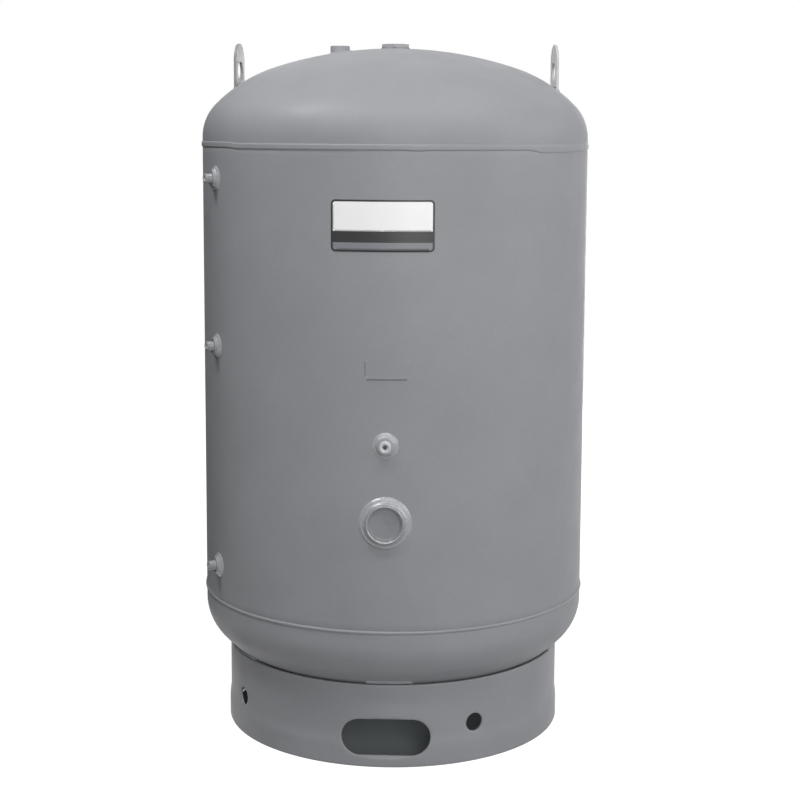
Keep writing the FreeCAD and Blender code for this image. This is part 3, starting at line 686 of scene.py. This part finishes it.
def build_upright_bead(name, node, azimuth, low, high, wall):
    """Upright seam bead on a round wall whose radius at a height is wall(height)."""
    rows, across, pitch = round((high - low) / 0.0016), 8, 0.0046
    base = radians(azimuth)
    vertices = []
    for i in range(rows + 1):
        level = low + (high - low) * i / rows
        radius = wall(level)
        fade = min(1.0, (i + 0.4) / 4, (rows - i + 0.4) / 4)
        half = 0.5 * SEAM_WIDTH * (1.0 + 0.05 * noise.noise(Vector((azimuth, level * 60, 0.0))))
        for j in range(across + 1):
            side = 2 * (j / across) - 1
            wave = 1.0 + 0.06 * sin(level / pitch * 2 * pi + 1.8 * side ** 2)
            rise = min(SEAM_HEIGHT, SEAM_HEIGHT * (1 - side ** 2) * wave) * fade
            vertices.append(on_round(base + half * side / radius, radius + rise - 0.0004, level))
        for side in (1, -1):
            vertices.append(on_round(base + side * half / radius, radius - 0.0009, level))
    finished(name, (vertices, capped(rows + 1, across + 3)), WELD_PAINT, node, sharp=60.0)


# ---- base ring

def flare_at(height):
    """How far the ring's wall stands out at a height."""
    share = min(1.0, max(0.0, (FLARE_HEIGHT + FLARE_RUN - height) / FLARE_RUN))
    return FLARE * share * share * (3 - 2 * share)


def build_ring():
    """Rolled skirt with a flared foot, the access slot and its round holes."""
    holes = [unrolled(obround((0.0, SLOT_HEIGHT), SLOT_RUN, SLOT_RADIUS), 0.0, RING_RADIUS)]
    holes += [unrolled(circle((0.0, HOLE_HEIGHT), HOLE_RADIUS, 48), azimuth, RING_RADIUS)
              for azimuth in HOLE_AZIMUTHS]
    sheet = rolled_sheet(RING_RADIUS, 0.0, RING_HEIGHT - JOINT_DROP, 252, 40, holes, RING_RIM,
                         flare_at, 0.6)
    finished("ring_skirt", sheet, PAINT, "base_ring")


def build_tack(index, azimuth):
    """Short bead in the open angle between the ring's top edge and the bottom head."""
    stations, across = 96, 9
    half = 0.5 * TACK_LENGTH / RING_RADIUS
    inner, toe = RING_RADIUS - WALL, RING_RADIUS + TACK_RISE
    start = Vector((RING_RADIUS - 0.0004, RING_HEIGHT - 0.0003))
    end = Vector((toe, BOTTOM_EQUATOR - head_rise(toe) + 0.0003))
    root = Vector((inner + 0.0005, RING_HEIGHT + 0.0002))
    full = 0.0008 if azimuth == FLUSH_TACK else 0.0026
    vertices = []
    for i in range(stations + 1):
        turn = radians(azimuth) + half * (2 * i / stations - 1)
        fade = min(1.0, (i + 0.5) / 6, (stations - i + 0.5) / 6) ** 0.5
        wave = 1.0 + 0.10 * sin(2.1 * i) + 0.15 * noise.noise(Vector((index * 3.1, i * 0.16, 0.0)))
        for share in spread(0.0, 1.0, across):
            bulge = full * wave * sin(pi * share)
            point = root.lerp(start.lerp(end, share) + Vector((bulge, -0.25 * bulge)), fade)
            vertices.append(on_round(turn, point.x, point.y))
        vertices.append(on_round(turn, inner, BOTTOM_EQUATOR - head_rise(inner) + 0.0002))
        vertices.append(on_round(turn, inner, RING_HEIGHT - 0.0002))
    faces = capped(stations + 1, across + 3)
    finished("ring_tack_%d" % index, (vertices, faces), PAINT, "base_ring_welds", sharp=60.0)


# ---- fittings

def build_round_weld(name, place, sag, radius, knots, seed, pitch=0.0036, columns=200):
    """Weld round a fitting, from its wall out to the toe, following the tank's surface."""
    path = smooth_path(knots, 4)
    width = knots[-1][0]
    ripples = round(2 * pi * (radius + width) / pitch)
    compass = around(columns)
    vertices = []
    for offset, height in path:
        share = offset / width
        for angle, along, aside in compass:
            lumps = 0.14 * on_ring(angle, 2.4, seed) + 0.06 * on_ring(angle, 9.0, seed)
            wave = 0.06 * sin(ripples * angle + 3.2 * share + seed)
            size = radius + offset * (1.0 + 0.35 * lumps * share)
            x, y = size * along, size * aside
            vertices.append(place(x, y, sag(x, y) + height * (1.0 + lumps + wave * sin(pi * share))))
    for size in (radius + width, radius):
        for _, along, aside in compass:
            x, y = size * along, size * aside
            vertices.append(place(x, y, sag(x, y) - WELD_SINK))
    faces = band_faces(len(path) + 2, columns)
    finished(name, (vertices, faces), WELD_PAINT, "fitting_welds", sharp=55.0)


def build_small_port(name, azimuth, height, radius, tip, mouth, seed):
    """Half coupling, weld and nipple of a small connection."""
    place = on_wall(azimuth, height)
    tube = sleeve(SMALL_RADIUS, NIPPLE_CORE, -SHORT_ENGAGEMENT, SMALL_REACH)
    finished("coupling_" + name, turned(tube, place), FITTING_PAINT, "small_couplings")
    build_round_weld("weld_" + name, place, wall_sag, SMALL_RADIUS, SMALL_WELD, seed, 0.0034)
    inner, throat = SMALL_REACH - NIPPLE_ENGAGEMENT, tip - MOUTH_CHAMFER
    rows = [(NIPPLE_BORE, inner), (NIPPLE_CORE - SNUG, inner), (NIPPLE_CORE - SNUG, SMALL_REACH)]
    rows += thread_rows(radius, SMALL_REACH + 0.0002, tip - 0.0012, NIPPLE_CUT, PIPE_PITCH)
    rows += [(radius - 0.0008, tip - 0.0007), (radius - 0.0016, tip), (mouth + MOUTH_CHAMFER, tip),
             (mouth, throat), (mouth, throat - 0.0010), (NIPPLE_BORE, throat - 0.0030)]
    # The front nipple takes the lighter paint, a painted highlight.
    paint = NIPPLE_PAINTED_HIGHLIGHT if azimuth == 0.0 else FITTING_PAINT
    finished("nipple_" + name, turned(rows, place, 72), paint, "port_nipples", sharp=50.0)


def build_large_port():
    """Large half coupling, its two-pass weld and its recessed plug."""
    place = on_wall(0.0, LARGE_HEIGHT)
    rim = rounded([(LARGE_BORE, -LONG_ENGAGEMENT), (LARGE_RADIUS, -LONG_ENGAGEMENT),
                   (LARGE_RADIUS, LARGE_SHOULDER), (LARGE_CREST, LARGE_REACH),
                   (LARGE_BORE, LARGE_REACH - LARGE_CHAMFER)], 0.0008, 6)
    finished("coupling_front_large", turned(rim, place, 160), FITTING_PAINT, "front_large_coupling")
    build_round_weld("weld_front_large", place, wall_sag, LARGE_RADIUS, LARGE_WELD, 4.4, 0.0040, 300)
    edge, face = LARGE_BORE - SNUG, LARGE_REACH - PLUG_RECESS
    dish = rounded([(0.0, face - PLUG_THICKNESS), (edge, face - PLUG_THICKNESS), (edge, face + PLUG_RIM),
                    (edge - PLUG_LIP, face + PLUG_RIM), (PLUG_FLAT, face), (0.0, face)], 0.0008, 5)
    # The plug's darker paint is painted shade in the recess.
    finished("plug_front_large", turned(dish, place, 128), PLUG_PAINTED_SHADE, "front_large_plug")


def hexagonal(flats, low, high, place, per_side=10, chamfer=0.0005):
    """Hexagon head with one corner to the front and a chamfered crown."""
    columns = 6 * per_side
    inner = 0.5 * flats
    crest = inner - chamfer
    slope = tan(radians(8.0))
    edge = [(turn - 0.5 * pi, inner / cos(turn % (pi / 3) - pi / 6)) for turn, _, _ in around(columns)]
    rows = ([(angle, size - 0.0006, low) for angle, size in edge]
            + [(angle, size, low + 0.0006) for angle, size in edge]
            + [(angle, size, high - (size - crest) * slope) for angle, size in edge]
            + [(angle, crest * share, high) for share in (1.0, 0.5) for angle, _ in edge])
    vertices = [place(size * cos(angle), size * sin(angle), level) for angle, size, level in rows]
    return vertices, capped(5, columns)


def threaded_shank(radius, low, high, depth, pitch, place):
    """Solid threaded shank, closed on its axis."""
    rows = [(0.0, low), (radius - 0.0016, low)]
    rows += thread_rows(radius, low + 0.0012, high - 0.0006, depth, pitch)
    rows += [(radius - 0.0002, high), (0.0, high)]
    return turned(rows, place, 96, pitch)


def build_top_fittings():
    """Outlet coupling, and the spud in the crown."""
    outlet = upright(OUTLET_X, TOP_EQUATOR + head_rise(abs(OUTLET_X)))
    low, tip = -LONG_ENGAGEMENT, OUTLET_REACH
    rows = [(OUTLET_RADIUS, low), (OUTLET_RADIUS, tip - 0.0014), (OUTLET_RADIUS - 0.0004, tip - 0.0004),
            (OUTLET_RADIUS - 0.0014, tip), (OUTLET_BORE + 0.0020, tip)]
    rows += thread_rows(OUTLET_BORE, tip - 0.0018, low + 0.001, -OUTLET_CUT, PIPE_PITCH)
    rows.append((OUTLET_BORE, low))
    finished("coupling_outlet", turned(rows, outlet), PAINT, "outlet_coupling")
    build_round_weld("weld_outlet", outlet, head_sag(OUTLET_X), OUTLET_RADIUS, HEAD_WELD, 6.1)
    crown = upright(0.0, CROWN)
    bore, tip = ANODE_THREAD + SNUG, SPUD_REACH
    rows = [(SPUD_RADIUS, -SPUD_INNER), (SPUD_RADIUS, tip - 0.0005), (SPUD_RADIUS - 0.0006, tip),
            (ANODE_THREAD + 0.0016, tip)]
    rows += thread_rows(bore, tip - 0.0012, -SPUD_INNER + 0.001, -LARGE_CUT, LARGE_PITCH)
    rows.append((bore, -SPUD_INNER))
    finished("spud_crown", turned(rows, crown, 128, LARGE_PITCH), PAINT, "anode_spud")
    build_round_weld("weld_crown", crown, head_sag(0.0), SPUD_RADIUS, SPUD_WELD, 8.7)


def build_drain():
    """Half coupling and hexagon plug in the middle of the bottom head."""
    place = hanging(BOTTOM_POLE)
    tube = sleeve(OUTLET_RADIUS, OUTLET_BORE + SNUG, -SHORT_ENGAGEMENT, DRAIN_REACH)
    finished("coupling_drain", turned(tube, place), FITTING_PAINT, "drain_coupling")
    build_round_weld("weld_drain", place, head_sag(0.0), OUTLET_RADIUS, HEAD_WELD, 3.3)
    shank = threaded_shank(OUTLET_BORE - SNUG, DRAIN_REACH - DRAIN_ENGAGEMENT, DRAIN_REACH - 0.0002, DRAIN_CUT,
                           PIPE_PITCH, place)
    head = hexagonal(DRAIN_FLATS, DRAIN_REACH, DRAIN_REACH + DRAIN_HEAD, place)
    finished("plug_drain", merged(shank, head), INNER_STEEL, "drain_plug", "plated_steel", sharp=28.0)


def build_anode():
    """Removable anode: hexagon plug, core wire and rod."""
    place = upright(0.0, CROWN)
    shank_end = SPUD_REACH - ANODE_SHANK
    shank = threaded_shank(ANODE_THREAD - SNUG, shank_end, SPUD_REACH - 0.0002, LARGE_CUT, LARGE_PITCH,
                           place)
    head = hexagonal(ANODE_FLATS, SPUD_REACH, SPUD_REACH + ANODE_HEAD, place)
    # The hexagon head takes a lighter copy of the grey paint, a painted highlight.
    finished("plug_anode", merged(shank, head), HEX_PAINTED_HIGHLIGHT, "anode_plug", body="anode", sharp=28.0)
    low, high = (corner.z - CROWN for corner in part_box("anode_rod"))
    wire = sleeve(WIRE_RADIUS, 0.0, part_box("anode_core_wire")[LOW].z - CROWN, shank_end + 0.0004, 0.0006)
    finished("wire_anode", turned(wire, place, 32), INNER_STEEL, "anode_core_wire", "plated_steel", "anode")
    end = [(WIRE_RADIUS + SNUG, 0.0), (ROD_RADIUS - 0.003, 0.0), (ROD_RADIUS - 0.0008, 0.0010),
           (ROD_RADIUS - 0.0002, 0.003)]
    rows = [(size, low + rise) for size, rise in end]
    rows += [(ROD_RADIUS, level) for level in spread(low + 0.005, high - 0.005, 260)]
    rows += [(size, high - rise) for size, rise in reversed(end)]
    vertices, columns = [], 48
    for radius, level in rows:
        for angle, x, y in around(columns):
            pit = ROD_PITTING * (0.5 + 0.5 * on_ring(angle, 6, level * 70))
            size = radius - pit if radius > 0.5 * ROD_RADIUS else radius
            vertices.append(place(size * x, size * y, level))
    faces = band_faces(len(rows), columns)
    finished("rod_anode", (vertices, faces), MAGNESIUM, "anode_rod", "magnesium", "anode", 50.0)


# ---- lifting lugs

def head_height(x, radial):
    """Height of the top head's outside."""
    return TOP_EQUATOR + head_rise(hypot(x, radial))


def build_lug(name, node, azimuth, paint):
    """Round-topped lug with rounded edges, scribed to the head, and the weld round its foot."""
    turn = Matrix.Rotation(radians(azimuth), 4, "Z")
    top = head_height(0.0, LUG_DISTANCE) + LUG_HEIGHT
    half, corner = 0.5 * LUG_WIDTH, 0.5 * LUG_THICKNESS
    low = head_height(half, LUG_DISTANCE + corner) - 0.004
    shoulder = top - half

    def place(u, v, depth):
        radial = LUG_DISTANCE + corner - depth
        return turn @ Vector((u, -radial, max(v, head_height(u, radial) - 0.0002)))

    def outline(inset):
        size = half - inset
        turns = [pi * i / 48 for i in range(49)]
        return ([(size * cos(t), shoulder + size * sin(t)) for t in turns]
                + [(-size, v) for v in spread(shoulder, low, 14)][1:]
                + [(u, low) for u in spread(-size, size, 16)][1:]
                + [(size, v) for v in spread(low, shoulder, 14)][1:-1])

    hole = circle((0.0, top - LUG_HOLE_DROP), LUG_HOLE, 64)
    points = [(u, v) for u in spread(-half, half, 26) for v in spread(low, top, 34)]
    sheet = pierced(points, [hole], [], place, LUG_THICKNESS, LUG_RIM, outline, 0.0015)
    finished(name, sheet, paint, node)

    foot = []
    for side in (1, -1):
        end = side * (half - corner)
        foot += [(u, side * corner, 0.0, float(side)) for u in spread(-end, end, 60)]
        for i in range(1, 12):
            bend = side * (0.5 * pi - pi * i / 12)
            foot.append((end + corner * cos(bend), corner * sin(bend), cos(bend), sin(bend)))
    section = smooth_path(LUG_WELD, 3)
    vertices = []
    for k, (u, across, nu, na) in enumerate(foot):
        lump = 1.0 + 0.07 * sin(1.9 * k) + 0.12 * noise.noise(Vector((u * 90, across * 300, azimuth)))
        rows = [(offset * lump, height * lump) for offset, height in section]
        for offset, height in rows + [(LUG_LEG, -LUG_WELD_SINK), (0.0, -LUG_WELD_SINK)]:
            x, radial = u + nu * offset, LUG_DISTANCE + across + na * offset
            vertices.append(turn @ Vector((x, -radial, head_height(x, radial) + height)))
    faces = band_faces(len(foot), len(section) + 2)
    finished(name.replace("lug", "lug_weld"), (vertices, faces), PAINT, "lug_welds", sharp=60.0)


# ---- label and data plate

def rounded_rectangle(width, height, corners, steps=8):
    """Rectangle with rounded corners: right top, left top, left bottom, right bottom."""
    out = []
    for (sx, sy), size, start in zip(((1, 1), (-1, 1), (-1, -1), (1, -1)), corners, (0, 90, 180, 270)):
        centre = (sx * (0.5 * width - size), sy * (0.5 * height - size))
        for i in range(steps + 1):
            turn = radians(start + 90.0 * i / steps)
            out.append((centre[0] + size * cos(turn), centre[1] + size * sin(turn)))
    return out


def patch(name, width, height, corners, azimuth, centre, low, high, material, slot, node,
          curl=lambda v: 0.0, grid=0.004):
    """Thin sheet that follows the shell between two distances from its surface."""
    base = radians(azimuth)
    outline = rounded_rectangle(width, height, corners)
    keep = [(u, v) for u in spread(-0.5 * width, 0.5 * width, max(8, round(width / grid)))
            for v in spread(-0.5 * height, 0.5 * height, max(4, round(height / grid)))
            if inside((u, v), outline) and nearest((u, v), outline) > 0.001]
    dense = []
    for a, b in zip(outline, outline[1:] + outline[:1]):
        steps = max(1, round(dist(a, b) / grid))
        dense += [(a[0] + (b[0] - a[0]) * i / steps, a[1] + (b[1] - a[1]) * i / steps) for i in range(steps)]
    border = closed_edges(0, len(dense))
    flat, _, triangles = geometry.delaunay_2d_cdt([Vector(c) for c in dense + keep], border, [], 1, 1e-7)[:3]

    def place(u, v, out):
        return on_round(base + asin(u / RADIUS), RADIUS + out + curl(v), centre + v)

    vertices, faces = two_sided(flat, triangles, place, high, low)
    count = len(flat)
    faces += [(i, j, count + j, count + i) for i, j in border]
    finished(name, (vertices, faces), material, node, slot, sharp=40.0)


def build_label():
    """Name label left without a name: a black ground, a bare white field and a grey band."""
    centre = middle("name_label")
    patch("label_ground", LABEL_WIDTH, LABEL_HEIGHT, (LABEL_CORNER,) * 4, LABEL_AZIMUTH, centre,
          *GROUND_LAYER, LABEL_BLACK, "label_film", "name_label")
    soft, square = (FIELD_CORNER,) * 2, (SQUARE_CORNER,) * 2
    for name, (start, end), corners, material in (("label_field", FIELD_SPAN, soft + square, LABEL_WHITE),
                                                  ("label_band", BAND_SPAN, square + soft, LABEL_GREY)):
        patch(name, LABEL_WIDTH - 2 * LABEL_BORDER, (end - start) * LABEL_HEIGHT, corners, LABEL_AZIMUTH,
              centre + 0.5 * LABEL_HEIGHT - 0.5 * (start + end) * LABEL_HEIGHT, *PRINT_LAYER, material,
              "label_film", "name_label")


def build_plate():
    """Data plate, painted over with the tank; its lower edge stands off the shell."""
    centre = middle("data_plate")

    def curl(v):
        near = max(0.0, 1.0 - (v + 0.5 * PLATE_HEIGHT) / CURL_REACH)
        return PLATE_CURL * near * near

    patch("data_plate_sheet", PLATE_WIDTH, PLATE_HEIGHT, (PLATE_CORNER,) * 4, PLATE_AZIMUTH, centre,
          *PLATE_LAYER, PAINT, "plate_metal", "data_plate", curl)
    for index, (side, rise) in enumerate(((-1, -1), (1, -1), (-1, 1), (1, 1))):
        place = on_wall(PLATE_AZIMUTH + degrees(side * (0.5 * PLATE_WIDTH - PIN_INSET) / RADIUS),
                        centre + rise * (0.5 * PLATE_HEIGHT - PIN_INSET))
        proud = PIN_PROUD if (side, rise) == (1, -1) else PIN_FLUSH
        pin = turned(sleeve(PIN_RADIUS, 0.0, -0.0005, proud, 0.0005), place, 32)
        finished("data_plate_pin_%d" % index, pin, FITTING_PAINT, "data_plate_pins", "plate_metal")


# ---- the tank

build_shell()
build_head("head_top", "top_head", TOP_EQUATOR, 1, TOP_FLANGE,
           ((0.0, SPUD_RADIUS), (OUTLET_X, OUTLET_RADIUS)))
build_head("head_bottom", "bottom_head", BOTTOM_EQUATOR, -1, BOTTOM_FLANGE, ((0.0, OUTLET_RADIUS),))
build_girth_weld("weld_girth_top", "top_girth_weld", TOP_SEAM, 1, 0.0034, 0.0022,
                 ((0.0020, 150.0, 7.0), (0.0010, 8.0, 5.0)), 1.0, 6.0,
                 ledges=((0.0062, 41.5, 6.5, 92.0, 40.0),), lifts=((0.0022, -110.0, 30.0, -48.0, 3.5),))
build_girth_weld("weld_girth_bottom", "bottom_girth_weld", BOTTOM_SEAM, -1, 0.0006, 0.0026,
                 ((0.0016, 53.0, 4.0), (0.0014, -140.0, 6.0)), 11.0, 2.6)
build_upright_bead("weld_shell_seam", "shell_seam_weld", SEAM_AZIMUTH, BOTTOM_SEAM + 0.001,
                   TOP_SEAM - 0.0036, lambda level: RADIUS)
build_ring()
build_upright_bead("weld_ring_seam", "base_ring_seam_weld", RING_SEAM_AZIMUTH, 0.0004,
                   RING_HEIGHT - 0.0004, lambda level: RING_RADIUS + flare_at(level))
for number, bearing in enumerate(TACK_AZIMUTHS):
    build_tack(number, bearing)
for number, port in enumerate(SMALL_PORTS):
    build_small_port(*port, 1.7 * number)
build_large_port()
build_top_fittings()
build_drain()
build_anode()
# The left lug's paint is painted shade and the right lug's a painted highlight.
build_lug("lug_left", "lifting_lug_left", -LUG_AZIMUTH, LEFT_LUG_PAINTED_SHADE)
build_lug("lug_right", "lifting_lug_right", LUG_AZIMUTH, RIGHT_LUG_PAINTED_HIGHLIGHT)
build_label()
build_plate()


# ---- set, light and camera

WHITE = (1.0, 1.0, 1.0, 1.0)
# Painted shade: the floor's darker colour inside the base ring.
UNDER_TANK_PAINTED_SHADE = (0.25, 0.28, 0.28, 1.0)
OPEN_FLOOR = (0.30, 0.30, 0.30, 1.0)
NEAR_GLOW, FAR_GLOW = 0.93, 1.0
NEAR_REACH, FAR_REACH = 0.9, 2.6
WORLD_STRENGTH, UNDER_POWER = 0.01, 4.0
AIM = (0.0, 0.0, 1.1)
CARD_TURN = radians(41.0)
EYE = Vector((0.1614, -3.9324, 1.4276))
HEADING, PITCH, ROLL = radians(2.155), radians(7.351), 0.0047
LENS, SENSOR, LENS_SHIFT = 73.62, 36.0, -0.075


def camera_ray(tree):
    """Node output that is 1 for camera, mirror and see-through rays."""
    camera, glossy, through = (added(tree, "LightPath", "Is %s Ray" % kind, {})
                               for kind in ("Camera", "Glossy", "Transmission"))
    return maths(tree, "MAXIMUM", maths(tree, "MAXIMUM", camera, glossy), through)


def build_world():
    """White for the camera and reflections, plain soft light for everything else."""
    world = bpy.data.worlds.new("studio")
    bpy.context.scene.world = world
    world.use_nodes = True
    tree = world.node_tree
    soft = tree.nodes["Background"]
    feed(tree, soft, {"Color": WHITE, "Strength": WORLD_STRENGTH})
    white = added(tree, "Background", "Background", {"Color": WHITE, "Strength": 1.0})
    mix = added(tree, "MixShader", "Shader", {"Fac": camera_ray(tree), 1: soft.outputs[0], 2: white})
    feed(tree, tree.nodes["World Output"], {"Surface": mix})


def build_floor(reach=40.0):
    """Plain pale floor that shows white and keeps the tank's shadow; inside the base ring it is painted shade,
    darker and without glow.
    """
    bpy.ops.mesh.primitive_plane_add(size=2 * reach, location=(0, 0, -0.0005))
    floor = bpy.context.object
    floor.name = "floor"
    made, tree = new_material("pale_floor")
    where = added(tree, "TexCoord", "Object", {})
    away = added(tree, "VectorMath", "Value", {0: where}, operation="LENGTH")
    outside = ranged(tree, away, RING_RADIUS - WALL, RING_RADIUS, 0.0, 1.0)
    # Inside the ring the floor gets the painted shade colour and no glow.
    pale = mixed(tree, outside, UNDER_TANK_PAINTED_SHADE, OPEN_FLOOR)
    shown = maths(tree, "MULTIPLY", camera_ray(tree), outside)
    glow = maths(tree, "MULTIPLY", shown, ranged(tree, away, NEAR_REACH, FAR_REACH, NEAR_GLOW, FAR_GLOW))
    feed(tree, tree.nodes["Principled BSDF"],
         {"Roughness": 0.9, "Specular IOR Level": 0.1, "Emission Color": WHITE, "Base Color": pale,
          "Emission Strength": glow})
    floor.data.materials.append(made)


def softbox(name, place, width, height, power):
    """Soft rectangular lamp that looks at the tank."""
    lamp = bpy.data.lights.new(name, "AREA")
    lamp.shape = "RECTANGLE"
    lamp.size, lamp.size_y, lamp.energy = width, height, power
    holder = linked(name, lamp)
    holder.location = place
    holder.visible_camera = False
    holder.rotation_euler = (Vector(AIM) - Vector(place)).to_track_quat("-Z", "Y").to_euler()


def build_under_lamp():
    """Small lamp inside the base ring, for what shows through the slot."""
    lamp = bpy.data.lights.new("under_tank", "POINT")
    lamp.energy, lamp.shadow_soft_size = UNDER_POWER, 0.10
    holder = linked("under_tank", lamp)
    holder.location = (0.0, 0.0, 2.0 * SLOT_HEIGHT)
    holder.visible_camera = False


def build_cards():
    """Black cards behind and beside the tank's left edge, seen only by reflections and bounced light."""
    dark, tree = new_material("card_black")
    feed(tree, tree.nodes["Principled BSDF"],
         {"Base Color": (0.01, 0.01, 0.01, 1.0), "Specular IOR Level": 0.0})
    for name, place, size, tilt in (("card_back", (-2.1, 1.75, 1.2), (2.4, 2.8), 90.0),
                                    ("card_floor", (-1.55, 1.12, 0.01), (2.4, 1.7), 0.0)):
        bpy.ops.mesh.primitive_plane_add(size=1.0, location=place)
        card = bpy.context.object
        card.name = name
        card.scale = (*size, 1.0)
        card.rotation_euler = (radians(tilt), 0.0, CARD_TURN)
        card.data.materials.append(dark)
        card.visible_camera = False
        card.visible_shadow = False


def build_camera():
    """Camera where the photographer stood."""
    forward = Vector((-sin(HEADING) * cos(PITCH), cos(HEADING) * cos(PITCH), -sin(PITCH)))
    level = forward.cross(Vector((0, 0, 1))).normalized()
    upward = level.cross(forward)
    right = level * cos(ROLL) + upward * sin(ROLL)
    over = upward * cos(ROLL) - level * sin(ROLL)
    lens = bpy.data.cameras.new("camera")
    lens.lens, lens.sensor_width, lens.shift_y = LENS, SENSOR, LENS_SHIFT
    holder = linked("camera", lens)
    turn = Matrix((right, over, -forward)).transposed().to_4x4()
    holder.matrix_world = Matrix.Translation(EYE) @ turn
    bpy.context.scene.camera = holder


bpy.context.scene.view_settings.view_transform = "Standard"
build_world()
build_floor()
for lamp_row in (("over_left", (-1.9, -0.8, 4.1), 0.8, 0.8, 60.0),
                 ("over_front", (0.2, -2.3, 4.5), 4.2, 0.30, 62.0),
                 ("front", (1.2, -5.2, 2.2), 2.0, 2.0, 118.0),
                 ("low_right", (3.9, -2.2, 2.2), 2.4, 2.4, 27.0),
                 ("right", (4.2, -0.4, 2.6), 2.4, 2.4, 54.0),
                 ("behind", (0.6, 4.6, 1.0), 2.4, 2.0, 80.0)):
    softbox(*lamp_row)
build_under_lamp()
build_cards()
build_camera()
